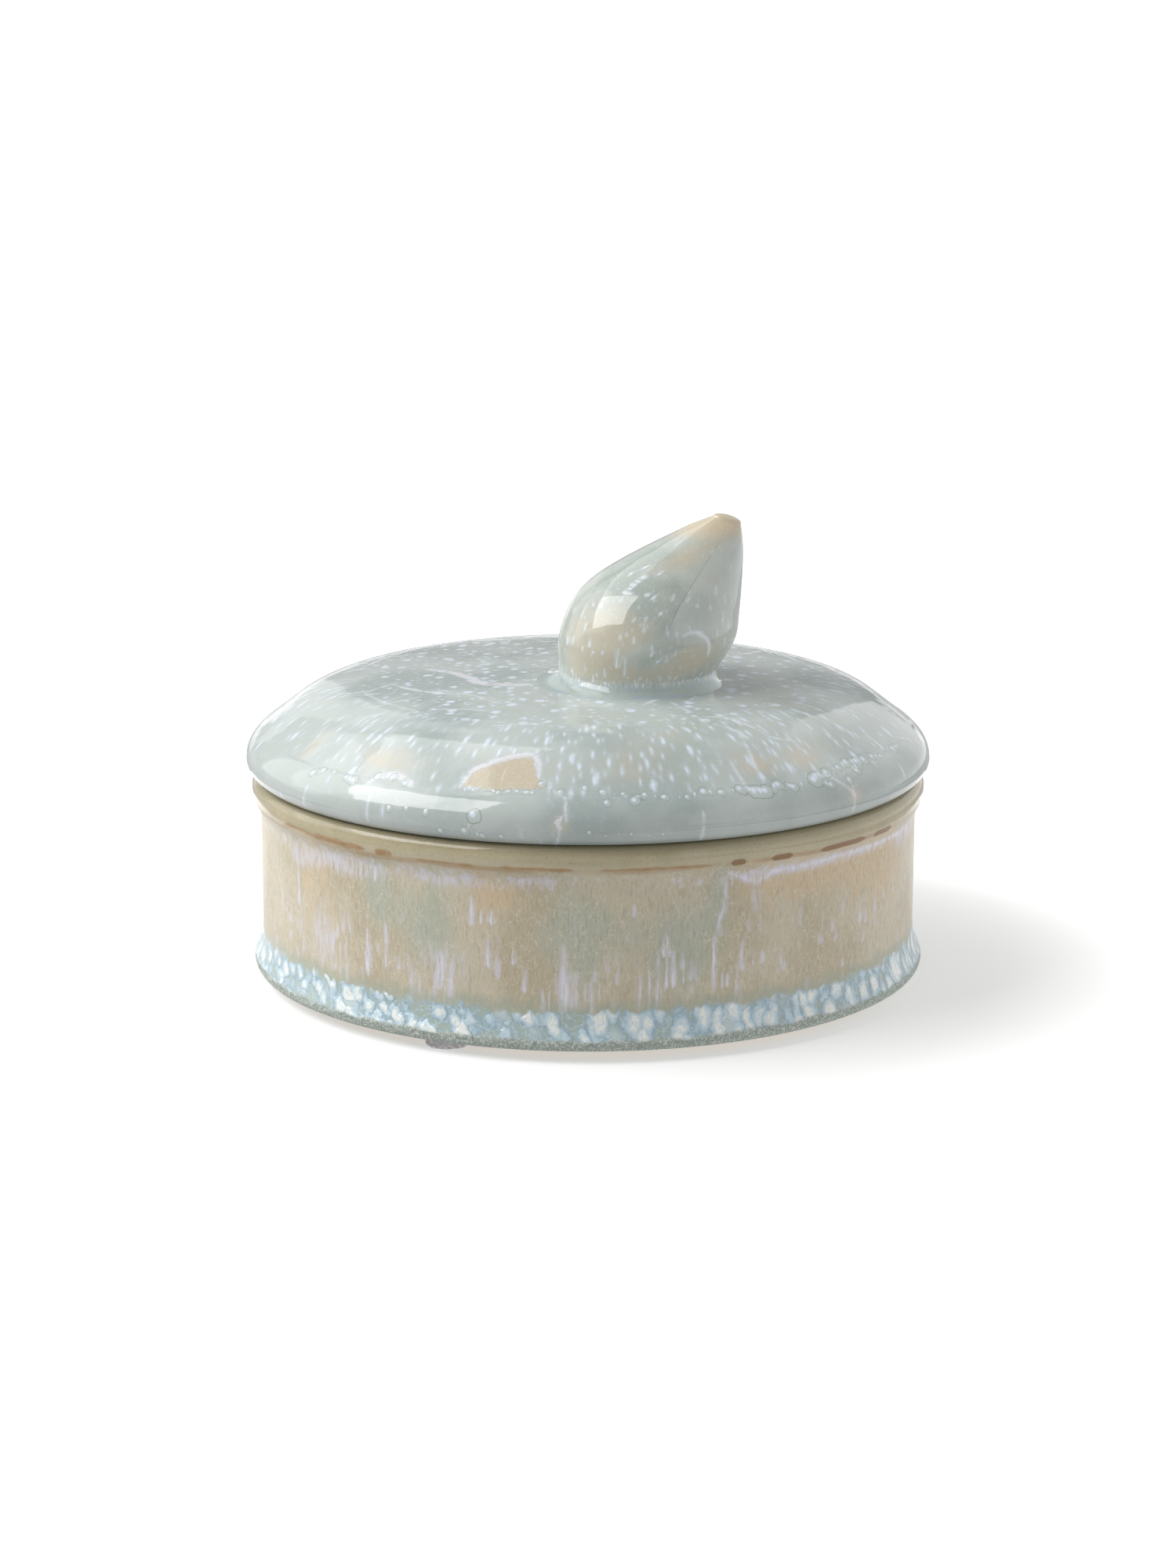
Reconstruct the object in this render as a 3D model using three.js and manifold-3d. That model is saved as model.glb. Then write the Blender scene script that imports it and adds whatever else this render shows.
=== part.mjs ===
// A round lidded box in glazed stoneware: a low pot with a flared foot and a beaded lip, a domed lid with
// a rolled edge and a locating flange, a leaning bud-shaped knob, and three felt pads stuck under the foot.
// Millimetres, +Z up. The origin is on the table, on the pot's axis. The front looks towards -Y.

import * as THREE from 'three';
import { mergeVertices } from 'three/addons/utils/BufferGeometryUtils.js';
import Module from 'manifold-3d';

const wasm = await Module();
wasm.setup();

// Felt pads
const padCount = 3;
const padDiameter = 10;
const padThickness = 2.5;
const padInset = 6;              // pad centre, inside the wall's outer face
const firstPadAngle = -115.6;    // degrees from +X, seen from above

// Pot
const potHeight = 45.5;          // foot ring to lip, without the pads
const wallRadius = 77;           // outer face of the wall
const wallThickness = 5;
const floorThickness = 5.5;
const floorFillet = 6;           // inside, between floor and wall
const footRingWidth = 15;
const footRecess = 1.5;          // underside, raised clear of the table inside the foot ring
const footFlare = 2;             // how far the foot stands out past the wall
const footFlareHeight = 9.5;
const footEdgeRound = 1.7;
const lipProud = 1.8;            // how far the lip's bead stands out past the wall
const lipBeadDepth = 9.5;        // lip's top down to where the bead runs into the wall
const lipCrest = 3.2;            // lip's top down to the bead's widest point
const lipInnerRound = 0.8;

// Lid
const lidHeight = 23.8;          // seat to the top of the dome
const lidOverhang = 3;           // lid's widest point, outside the wall's outer face
const lidThickness = 5.5;
const rollRadius = 4;            // round under the rolled edge
const rollShoulder = 7.5;        // corner of the roll and the flank, above the seat
const flankInset = 16.8;         // corner of the flank and the crown, in from the edge
const crownInset = 26;           // start of the shallow crown, in from the edge
const crownDrop = 2.6;           // fall of the crown from its middle to its start
const flangeClearance = 1.5;     // between the flange and the inside of the lip
const flangeDepth = 7;
const flangeThickness = 4;
const flangeTaper = 0.5;
const flangeEdgeRound = 1;
const haunchHeight = 5;          // straight inner side of the flange, above the seat

// Knob
const knobOffset = 11.3;         // knob's foot, to the right of the lid's middle
const knobForward = 14;          // knob's foot, in front of the lid's middle
const knobHeight = 39.9;
const knobWidth = 42.1;          // neck's left side to the belly's right side
const knobCollarRadius = 19.5;
const knobCollarHeight = 1.5;
const knobNeckRadius = 18.1;
const knobNeckHeight = 4.5;
const knobLean = 20.2;           // tip, sideways from the middle of the knob's foot
const knobTipWidth = 6.5;
const knobTipTilt = 1.1;         // the tip's right side, below its left side
const knobTipRound = 1.1;
const knobSlimness = 0.35;       // how much shallower than wide the bud is at its tip
const knobCrease = 0.04;         // height of the soft crease down the front and the back, as a share of the depth
const knobCreaseAngle = 72;      // degrees round each ring from its right side
const knobCreaseWidth = 16;      // degrees
const knobPocketDepth = 0.8;     // seat sunk in the crown
const knobPocketClearance = 0.3;

// Fineness
const turnSteps = 72;
const curveSteps = 5;
const knobSteps = 20;
const knobSides = 40;
const padSides = 28;

const outerRound = Math.PI / 2;

const glazes = {
  pot: new THREE.MeshStandardMaterial({ color: 0xbdb59c, roughness: 0.28, metalness: 0 }),
  lid: new THREE.MeshStandardMaterial({ color: 0xb9c4c0, roughness: 0.16, metalness: 0 }),
  knob: new THREE.MeshStandardMaterial({ color: 0xb8bdb2, roughness: 0.16, metalness: 0 }),
};
const felt = new THREE.MeshStandardMaterial({ color: 0xcfc8cc, roughness: 0.95, metalness: 0 });

// Heights and radii that the pieces share
const footZ = padThickness;
const seatZ = footZ + potHeight;
const innerRadius = wallRadius - wallThickness;
const lidRadius = wallRadius + lidOverhang;
const crownRadius = lidRadius - crownInset;
const crownZ = seatZ + lidHeight;
const crownHeightAt = (radius) => crownZ - crownDrop * (radius / crownRadius) ** 2;
const knobSeatZ = crownHeightAt(Math.hypot(knobOffset, knobForward) + knobCollarRadius) - knobPocketDepth;

// Revolves an outline of (radius, height) about the Z axis.
function turned(outline) {
  const geometry = new THREE.LatheGeometry(outline.getPoints(curveSteps), turnSteps);
  geometry.rotateX(Math.PI / 2);
  return geometry;
}

function solidFrom(geometry) {
  const bare = geometry.clone();
  bare.deleteAttribute('normal');
  bare.deleteAttribute('uv');
  const merged = mergeVertices(bare, 1e-4);
  return new wasm.Manifold(new wasm.Mesh({
    numProp: 3,
    vertProperties: new Float32Array(merged.attributes.position.array),
    triVerts: new Uint32Array(merged.index.array),
  }));
}

function geometryFrom(solid) {
  const mesh = solid.getMesh();
  const geometry = new THREE.BufferGeometry();
  geometry.setAttribute('position', new THREE.BufferAttribute(mesh.vertProperties, 3));
  geometry.setIndex(new THREE.BufferAttribute(mesh.triVerts, 1));
  geometry.computeVertexNormals();
  return geometry;
}

function named(name, geometry, material) {
  const mesh = new THREE.Mesh(geometry, material);
  mesh.name = name;
  return mesh;
}

// The pot's outline runs from the middle of its underside, round the foot, up the wall, over the lip
// and down the inside to the middle of the floor.
function makePot() {
  const footOuter = wallRadius + footFlare;
  const footInner = wallRadius - footRingWidth;
  const lipOuter = wallRadius + lipProud;
  const floorZ = footZ + footRecess + floorThickness;
  const flareTopZ = footZ + footFlareHeight;
  const beadFootZ = seatZ - lipBeadDepth;
  const beadCrestZ = seatZ - lipCrest;
  const beadPull = (beadCrestZ - beadFootZ) * 0.45;
  const flarePull = (flareTopZ - footZ) * 0.45;

  const outline = new THREE.Path();
  outline.moveTo(0, footZ + footRecess);
  outline.lineTo(footInner - footRecess, footZ + footRecess);
  outline.lineTo(footInner, footZ);
  outline.lineTo(footOuter - footEdgeRound, footZ);
  outline.quadraticCurveTo(footOuter, footZ, footOuter, footZ + footEdgeRound);
  outline.bezierCurveTo(footOuter, footZ + footEdgeRound * 1.8, wallRadius, flareTopZ - flarePull,
    wallRadius, flareTopZ);
  outline.lineTo(wallRadius, beadFootZ);
  outline.bezierCurveTo(wallRadius, beadFootZ + beadPull, lipOuter, beadCrestZ - beadPull * 1.2,
    lipOuter, beadCrestZ);
  outline.quadraticCurveTo(lipOuter, seatZ, lipOuter - lipCrest, seatZ);
  outline.lineTo(innerRadius + lipInnerRound, seatZ);
  outline.quadraticCurveTo(innerRadius, seatZ, innerRadius, seatZ - lipInnerRound);
  outline.lineTo(innerRadius, floorZ + floorFillet);
  outline.quadraticCurveTo(innerRadius, floorZ, innerRadius - floorFillet, floorZ);
  outline.lineTo(0, floorZ);
  return named('pot_body', turned(outline), glazes.pot);
}

// The lid's outline runs from the middle of the dome's underside, down the inside of the flange, under the
// flat seat, round the rolled edge, up the flank and over the crown.
function makeLid() {
  const flangeOuter = innerRadius - flangeClearance;
  const flangeInner = flangeOuter - flangeThickness;
  const flangeFootZ = seatZ - flangeDepth;
  const flankCorner = new THREE.Vector2(lidRadius - flankInset, 0);
  flankCorner.y = crownZ - crownDrop * (2 * flankCorner.x / crownRadius - 1);
  const rollCorner = new THREE.Vector2(lidRadius, seatZ + rollShoulder);
  const flankFoot = flankCorner.clone().lerp(rollCorner, 0.76);
  const flankHead = flankCorner.clone().lerp(rollCorner, 0.34);
  const underCrownRadius = crownRadius - lidThickness * 0.75;
  const underCrownZ = crownHeightAt(underCrownRadius) - lidThickness;
  const haunchZ = seatZ + haunchHeight;
  const haunchPull = (underCrownZ - haunchZ) * 0.7;

  const outline = new THREE.Path();
  outline.moveTo(0, crownZ - lidThickness);
  outline.quadraticCurveTo(underCrownRadius / 2, crownZ - lidThickness, underCrownRadius, underCrownZ);
  outline.bezierCurveTo(flangeInner - haunchPull, underCrownZ - flangeThickness / 4,
    flangeInner, haunchZ + haunchPull, flangeInner, haunchZ);
  outline.lineTo(flangeInner, flangeFootZ + flangeEdgeRound);
  outline.quadraticCurveTo(flangeInner, flangeFootZ, flangeInner + flangeEdgeRound, flangeFootZ);
  outline.lineTo(flangeOuter - flangeTaper - flangeEdgeRound, flangeFootZ);
  outline.quadraticCurveTo(flangeOuter - flangeTaper, flangeFootZ,
    flangeOuter - flangeTaper, flangeFootZ + flangeEdgeRound);
  outline.lineTo(flangeOuter, seatZ);
  outline.lineTo(lidRadius - rollRadius, seatZ);
  outline.absarc(lidRadius - rollRadius, seatZ + rollRadius, rollRadius, -outerRound, 0);
  outline.quadraticCurveTo(rollCorner.x, rollCorner.y, flankFoot.x, flankFoot.y);
  outline.lineTo(flankHead.x, flankHead.y);
  outline.quadraticCurveTo(flankCorner.x, flankCorner.y, crownRadius, crownHeightAt(crownRadius));
  outline.quadraticCurveTo(crownRadius / 2, crownZ, 0, crownZ);

  const pocketHeight = crownZ - knobSeatZ + knobPocketDepth;
  const pocket = new THREE.CylinderGeometry(
    knobCollarRadius + knobPocketClearance, knobCollarRadius + knobPocketClearance, pocketHeight, turnSteps);
  pocket.rotateX(Math.PI / 2);
  pocket.translate(knobOffset, -knobForward, knobSeatZ + pocketHeight / 2);
  const lid = solidFrom(turned(outline)).subtract(solidFrom(pocket));
  return named('lid', geometryFrom(lid), glazes.lid);
}

// A smooth curve through places (sideways, upwards) on one side of the bud.
function sideCurve(places) {
  return new THREE.CatmullRomCurve3(places.map(([x, y]) => new THREE.Vector3(x, y, 0)), false, 'centripetal');
}

// The bud is lofted between its left and right side curves. Each ring is an ellipse from one side to the
// other, so the rings tip over as the bud leans, and a small cap rounds off its tip.
function makeKnob() {
  const rightBelly = knobWidth - knobNeckRadius;
  const tipRingZ = knobHeight - knobTipRound;
  const creasePeak = THREE.MathUtils.degToRad(knobCreaseAngle);
  const creaseWidth = THREE.MathUtils.degToRad(knobCreaseWidth);
  const leftSide = sideCurve([
    [-knobNeckRadius, knobNeckHeight],
    [-knobNeckRadius + 0.3, knobHeight * 0.32],
    [-knobNeckRadius + 5.6, knobHeight * 0.585],
    [knobLean - 10.7, knobHeight * 0.915],
    [knobLean - knobTipWidth / 2, tipRingZ + knobTipTilt / 2],
  ]);
  const rightSide = sideCurve([
    [knobNeckRadius, knobNeckHeight],
    [THREE.MathUtils.lerp(knobNeckRadius, rightBelly, 0.73), knobHeight * 0.288],
    [THREE.MathUtils.lerp(knobNeckRadius, rightBelly, 0.88), knobHeight * 0.44],
    [rightBelly, knobHeight * 0.805],
    [knobLean + knobTipWidth / 2, tipRingZ - knobTipTilt / 2],
  ]);
  const flareRadius = THREE.MathUtils.lerp(knobNeckRadius, knobCollarRadius, 0.3);
  const flareHeight = THREE.MathUtils.lerp(knobCollarHeight, knobNeckHeight, 0.4);
  const rings = [];
  for (const [radius, height] of [
    [knobCollarRadius, 0], [knobCollarRadius, knobCollarHeight], [flareRadius, flareHeight],
  ]) {
    rings.push({ left: new THREE.Vector3(-radius, height, 0), right: new THREE.Vector3(radius, height, 0) });
  }
  for (let step = 0; step <= knobSteps; step += 1) {
    const along = step / knobSteps;
    rings.push({ left: leftSide.getPoint(along), right: rightSide.getPoint(along), along });
  }
  const tipLeft = rings.at(-1).left;
  const tipRight = rings.at(-1).right;
  const tipMiddle = tipLeft.clone().lerp(tipRight, 0.5);
  const outward = new THREE.Vector3(tipLeft.y - tipRight.y, tipRight.x - tipLeft.x, 0).normalize();
  for (const turn of [0.35, 0.7]) {
    const shift = outward.clone().multiplyScalar(knobTipRound * Math.sin(turn * outerRound));
    const shrink = 1 - Math.cos(turn * outerRound);
    const left = tipLeft.clone().lerp(tipMiddle, shrink).add(shift);
    const right = tipRight.clone().lerp(tipMiddle, shrink).add(shift);
    rings.push({ left, right, along: 1 });
  }
  const tip = tipMiddle.clone().addScaledVector(outward, knobTipRound);

  const points = [new THREE.Vector3(0, 0, 0)];
  for (const { left, right, along = 0 } of rings) {
    const middle = left.clone().lerp(right, 0.5);
    const reach = right.clone().sub(left).multiplyScalar(0.5);
    const depth = reach.length() * (1 - knobSlimness * along ** 3);
    for (let side = 0; side < knobSides; side += 1) {
      const angle = side / knobSides * 2 * Math.PI;
      const fromRight = Math.min(angle, 2 * Math.PI - angle);
      const crease = Math.exp(-(((fromRight - creasePeak) / creaseWidth) ** 2));
      const swell = 1 + knobCrease * crease * along;
      const across = reach.clone().multiplyScalar(swell * Math.cos(angle)).add(middle);
      points.push(new THREE.Vector3(across.x, swell * depth * Math.sin(angle), across.y));
    }
  }
  points.push(new THREE.Vector3(tip.x, 0, tip.y));

  const faces = [];
  const last = points.length - 1;
  for (let side = 0; side < knobSides; side += 1) {
    const next = (side + 1) % knobSides;
    faces.push(0, 1 + next, 1 + side);
    for (let ring = 0; ring < rings.length - 1; ring += 1) {
      const low = 1 + ring * knobSides;
      const high = low + knobSides;
      faces.push(low + side, low + next, high + next);
      faces.push(low + side, high + next, high + side);
    }
    const rim = last - knobSides;
    faces.push(rim + side, rim + next, last);
  }
  const geometry = new THREE.BufferGeometry().setFromPoints(points);
  geometry.setIndex(faces);
  geometry.computeVertexNormals();
  const knob = named('knob', geometry, glazes.knob);
  knob.position.set(knobOffset, -knobForward, knobSeatZ);
  return knob;
}

function makePad(index) {
  const geometry = new THREE.CylinderGeometry(padDiameter / 2, padDiameter / 2, padThickness, padSides);
  geometry.rotateX(Math.PI / 2);
  const pad = named(`felt_pad_${index + 1}`, geometry, felt);
  const angle = THREE.MathUtils.degToRad(firstPadAngle + index * 360 / padCount);
  const ring = wallRadius - padInset;
  pad.position.set(ring * Math.cos(angle), ring * Math.sin(angle), padThickness / 2);
  return pad;
}

const box = new THREE.Group();
const pot = new THREE.Group();
pot.add(makePot());
for (let index = 0; index < padCount; index += 1) {
  pot.add(makePad(index));
}
const cover = new THREE.Group();
cover.add(makeLid(), makeKnob());
box.add(pot, cover);

export default box;
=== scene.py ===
"""Low round lidded box in glazed stoneware: its looks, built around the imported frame.

Sizes are in millimetres and become metres when a mesh is made. Only the studio's are in metres. The
front looks towards -Y, and the knob leans towards +X.
"""
import logging
import math
from dataclasses import dataclass, field
from enum import Enum
from functools import partial
from typing import Any, Mapping, Sequence

import bpy
import numpy as np
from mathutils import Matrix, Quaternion, Vector


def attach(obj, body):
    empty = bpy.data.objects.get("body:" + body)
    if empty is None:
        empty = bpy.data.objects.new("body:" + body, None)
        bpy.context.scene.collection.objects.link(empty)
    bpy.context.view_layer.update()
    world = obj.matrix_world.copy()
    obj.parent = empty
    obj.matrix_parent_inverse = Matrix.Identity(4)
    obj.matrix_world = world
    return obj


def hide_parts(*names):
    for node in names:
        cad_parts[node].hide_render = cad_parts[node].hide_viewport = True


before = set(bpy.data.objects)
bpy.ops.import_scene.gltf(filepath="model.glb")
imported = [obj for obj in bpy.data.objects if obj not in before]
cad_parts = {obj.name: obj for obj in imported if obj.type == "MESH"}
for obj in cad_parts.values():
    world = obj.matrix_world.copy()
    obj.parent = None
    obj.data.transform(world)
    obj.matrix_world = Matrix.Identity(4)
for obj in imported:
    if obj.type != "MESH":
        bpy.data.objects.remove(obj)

logging.basicConfig(level=logging.INFO, format="%(message)s")
log = logging.getLogger("stoneware_box")

MM = 0.001
Point = tuple[float, float]
Feeds = Mapping[int | str, Any] | Sequence[Any]

# Blender's names of the nodes that are used most
MATH, VECTOR, RANGE = "ShaderNodeMath", "ShaderNodeVectorMath", "ShaderNodeMapRange"
MIX, NOISE, CELLS, FACT = "ShaderNodeMix", "ShaderNodeTexNoise", "ShaderNodeTexVoronoi", "ShaderNodeAttribute"
PARTS, JOIN, CHANNELS = "ShaderNodeSeparateXYZ", "ShaderNodeCombineXYZ", "ShaderNodeSeparateColor"
SOFT = {"interpolation_type": "SMOOTHSTEP"}

# farther from a mark than its glaze reaches, in mm, or in radii of a bead
BEYOND = 9.0


def add_node(tree: bpy.types.NodeTree, kind: str, feeds: Feeds = (), **settings: Any) -> bpy.types.Node:
    """Adds one node to a tree, with its settings and what feeds it.

    Args:
        tree: The tree that gets the node.
        kind: The node's type.
        feeds: A value, a node or a socket for each input, in order or by name or number.
        **settings: The node's own settings.

    Returns:
        The new node.
    """
    node = tree.nodes.new(kind)
    for name, value in settings.items():
        setattr(node, name, value)
    for key, value in feeds.items() if isinstance(feeds, Mapping) else enumerate(feeds):
        if isinstance(key, str):
            socket = next(s for s in node.inputs if s.name == key and s.enabled)
        else:
            socket = node.inputs[key]
        if isinstance(value, bpy.types.Node):
            value = next(s for s in value.outputs if s.enabled)
        if isinstance(value, bpy.types.NodeSocket):
            tree.links.new(value, socket)
        else:
            socket.default_value = value
    return node


def linear(code: str) -> tuple[float, float, float, float]:
    """Turns an sRGB hex colour into linear light.

    Args:
        code: A colour such as "#c0c6c2".

    Returns:
        Red, green, blue and alpha.
    """
    channels = [int(code[i:i + 2], 16) / 255 for i in (1, 3, 5)]
    red, green, blue = [c / 12.92 if c <= 0.04045 else ((c + 0.055) / 1.055) ** 2.4 for c in channels]
    return red, green, blue, 1.0


class Skin(Enum):
    """What covers a stretch of a turned outline."""

    OUTER_GLAZE = 0
    INNER_GLAZE = 1
    BARE_CLAY = 2


@dataclass(frozen=True)
class Edge:
    """One stretch of a turned outline.

    Two points make a line, three a quadratic curve and four a cubic one. give is how much of the
    hand-finished unevenness this stretch takes, from 0 to 1.
    """

    points: tuple[Point, ...]
    rows: int
    skin: Skin = Skin.OUTER_GLAZE
    give: float = 0.0

    def sample(self) -> np.ndarray:
        """Gives the stretch as points (radius, height), without its last one.

        Returns:
            An array with a row for each point.
        """
        t = np.linspace(0, 1, self.rows, endpoint=False)[:, None]
        corners = np.array(self.points, dtype=float)
        degree = len(corners) - 1
        weights = [math.comb(degree, k) * t**k * (1 - t) ** (degree - k) for k in range(degree + 1)]
        return sum(w * c for w, c in zip(weights, corners))


@dataclass(frozen=True)
class Stroke:
    """A line of glaze that parted or ran.

    The path goes through points (angle in degrees, place along the outline in mm). start and end are half
    widths in mm.
    """

    path: tuple[Point, ...]
    start: float = 0.3
    end: float = 0.3

    @classmethod
    def arched(cls, first: float, last: float, height: float, half: float) -> "Stroke":
        """Draws an almost level stroke from one angle to another, a little higher in its middle."""
        return cls(((first, height), ((first + last) / 2, height + 0.1), (last, height)), half, half)


@dataclass(frozen=True)
class Tint:
    """A soft patch of another colour, warm above 0 and cool below it.

    Its middle is at angle, in degrees, and at place, in mm along the outline. width is how far it reaches
    round the piece and height how far along the outline, in mm.
    """

    angle: float
    place: float
    width: float
    height: float
    strength: float


@dataclass(frozen=True)
class BeadRow:
    """A row of glaze beads with rings round them, between two points (degrees, mm along the outline)."""

    first: Point
    last: Point
    count: int
    radius: float


@dataclass
class GlazeMarks:
    """Where single marks of the glaze lie on a piece, written to its mesh.

    A mark is kept as its own small coordinates at each vertex, such as the signed distance across a
    stroke, so its edge stays sharper than the mesh. angle, along and radius say where each vertex lies:
    round the piece in radians, along its outline and from its axis in mm. A stroke narrows over the share
    taper at both ends and is written up to near mm from its edge, and a bead up to bead_reach of its radii.
    rough_radius weighs an angle against a place along the outline where the nearest vertex is looked up.
    """

    angle: np.ndarray
    along: np.ndarray
    radius: np.ndarray
    near: float = 1.5
    rough_radius: float = 40.0
    taper: float = 1 / 8
    bead_reach: float = 2.6

    def _offsets(self, centre: Point) -> tuple[np.ndarray, np.ndarray]:
        """Measures every vertex from a place on the surface.

        Args:
            centre: The place, as (angle in degrees, mm along the outline).

        Returns:
            The distance round the piece and along its outline, in mm.
        """
        turn = (self.angle - math.radians(centre[0]) + math.pi) % (2 * math.pi) - math.pi
        here = np.argmin(np.abs(self.along - centre[1]) + np.abs(turn) * self.rough_radius)
        return turn * self.radius[here], self.along - centre[1]

    def strokes(self, strokes: Sequence[Stroke]) -> tuple[np.ndarray, np.ndarray]:
        """Measures every vertex from the nearest stroke.

        Args:
            strokes: The strokes to lay.

        Returns:
            Signed distance across the stroke and its half width there, in mm.
        """
        best = np.full(len(self.angle), BEYOND)
        side = np.full(len(self.angle), BEYOND)
        half = np.full(len(self.angle), -1.0)
        for stroke in strokes:
            spans = list(zip(stroke.path[:-1], stroke.path[1:]))
            for number, (a, b) in enumerate(spans):
                x, y = self._offsets(a)
                turn = (math.radians(b[0] - a[0]) + math.pi) % (2 * math.pi) - math.pi
                here = np.argmin(np.abs(x) + np.abs(y))
                bx, by = turn * self.radius[here], b[1] - a[1]
                length = math.hypot(bx, by)
                place = (x * bx + y * by) / length
                across = (x * by - y * bx) / length
                over = np.maximum(np.maximum(-place, place - length), 0)
                t = (number + np.clip(place / length, 0, 1)) / len(spans)
                taper = np.clip(np.minimum(t, 1 - t) / self.taper, 0, 1) ** 0.5
                width = (stroke.start + (stroke.end - stroke.start) * t) * taper
                outer = (number == 0) & (place < 0) | (number == len(spans) - 1) & (place > length)
                distance = np.hypot(across, over)
                signed = np.where(outer, across, np.where(across < 0, -distance, distance))
                width = np.where(outer, -over, width)
                margin = distance - width
                take = margin < best
                best = np.where(take, margin, best)
                side = np.where(take, signed, side)
                half = np.where(take & (margin < self.near), width, np.where(take, -1.0, half))
        return side, half

    def tints(self, tints: Sequence[Tint]) -> np.ndarray:
        """Adds up the soft patches at every vertex.

        Args:
            tints: The patches.

        Returns:
            The strength at each vertex, warm above 0.
        """
        total = np.zeros(len(self.angle))
        for tint in tints:
            x, y = self._offsets((tint.angle, tint.place))
            total += tint.strength * np.exp(-((x / tint.width) ** 2 + (y / tint.height) ** 2))
        return total

    def patch(self, outlines: Sequence[Sequence[Point]]) -> np.ndarray:
        """Measures every vertex from the nearest closed outline.

        Args:
            outlines: The outlines, each through points (angle, mm along).

        Returns:
            Distance in mm, below 0 inside an outline.
        """
        best = np.full(len(self.angle), BEYOND)
        for outline in outlines:
            x, y = self._offsets(outline[0])
            here = np.argmin(np.abs(x) + np.abs(y))
            (first_angle, first_place), reach = outline[0], self.radius[here]
            corners = [(math.radians(a - first_angle) * reach, s - first_place) for a, s in outline]
            distance = np.full(len(x), BEYOND)
            inside = np.zeros(len(x), dtype=bool)
            for (ax, ay), (bx, by) in zip(corners, corners[1:] + corners[:1]):
                px, py, dx, dy = x - ax, y - ay, bx - ax, by - ay
                t = np.clip((px * dx + py * dy) / (dx * dx + dy * dy), 0, 1)
                distance = np.minimum(distance, np.hypot(px - t * dx, py - t * dy))
                crosses = (ay > y) != (by > y)
                slope = dx * (y - ay) / (dy if dy else 1e-9) + ax
                inside ^= crosses & (x < slope)
            best = np.minimum(best, np.where(inside, -distance, distance))
        return best

    def beads(self, rows: Sequence[BeadRow], seed: int) -> np.ndarray:
        """Measures every vertex from the nearest bead.

        Args:
            rows: The rows of beads.
            seed: Fixes how the beads stray from their row.

        Returns:
            Offset round and along, and the bead's radius, in mm.
        """
        rng = np.random.default_rng(seed)
        best = np.full(len(self.angle), BEYOND)
        found = np.zeros((len(self.angle), 3))
        for row in rows:
            for number in range(row.count):
                t = (number + rng.uniform(-0.25, 0.25)) / max(row.count - 1, 1)
                angle, place = (a + (b - a) * t for a, b in zip(row.first, row.last))
                centre = (angle, place + rng.uniform(-1, 1) * row.radius)
                radius = row.radius * rng.uniform(0.7, 1.15)
                x, y = self._offsets(centre)
                distance = np.hypot(x, y) / radius
                take = distance < best
                best = np.where(take, distance, best)
                size = np.where(distance < self.bead_reach, radius, 0.0)
                found[take] = np.stack([x, y, size], axis=1)[take]
        return found

    def write_strokes(self, mesh: bpy.types.Mesh, name: str, strokes: Sequence[Stroke]) -> None:
        """Writes how far each vertex is from the nearest stroke, and that stroke's half width.

        Args:
            mesh: The mesh.
            name: What the strokes are called in it.
            strokes: The strokes.
        """
        side, half = self.strokes(strokes)
        write_attribute(mesh, f"{name}_side", side)
        write_attribute(mesh, f"{name}_half", half)


def write_attribute(mesh: bpy.types.Mesh, name: str, values: np.ndarray) -> None:
    """Writes one value or vector per vertex to a mesh.

    Args:
        mesh: The mesh.
        name: The attribute's name.
        values: One row for each vertex.
    """
    vector = values.ndim == 2
    layer = mesh.attributes.new(name, "FLOAT_VECTOR" if vector else "FLOAT", "POINT")
    layer.data.foreach_set("vector" if vector else "value", values.astype(np.float32).ravel())


def read_vectors(mesh: bpy.types.Mesh, name: str) -> np.ndarray:
    """Reads a vector attribute of a mesh.

    Args:
        mesh: The mesh.
        name: The attribute's name.

    Returns:
        An array with a row for each vertex.
    """
    values = np.empty(len(mesh.vertices) * 3, dtype=np.float32)
    mesh.attributes[name].data.foreach_get("vector", values)
    return values.reshape(-1, 3).astype(float)


def smooth_curve(corners: Sequence[Point], shares: np.ndarray) -> np.ndarray:
    """Draws a smooth curve through points (centripetal Catmull-Rom).

    Args:
        corners: The points it goes through.
        shares: Where to read it, from 0 at the first point to 1 at the last.

    Returns:
        A row for each share.
    """
    row = np.array(corners, dtype=float)
    row = np.vstack([2 * row[0] - row[1], row, 2 * row[-1] - row[-2]])
    spans = len(corners) - 1
    first = np.minimum((shares * spans).astype(int), spans - 1)
    w = (shares * spans - first)[:, None]
    a, b, c, d = (row[first + k] for k in range(4))
    g, h, i = (np.linalg.norm(q - p, axis=1, keepdims=True) ** 0.5 for p, q in ((a, b), (b, c), (c, d)))
    out = ((b - a) / g - (c - a) / (g + h) + (c - b) / h) * h
    back = ((c - b) / h - (d - b) / (h + i) + (d - c) / i) * h
    return b + out * w + (-3 * b + 3 * c - 2 * out - back) * w**2 + (2 * b - 2 * c + out + back) * w**3


def quad(row: int, column: int, around: int) -> tuple[int, int, int, int]:
    """Gives the corners of one face between two closed rings of around points each."""
    low, high, after = row * around, (row + 1) * around, (column + 1) % around
    return low + column, low + after, high + after, high + column


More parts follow.
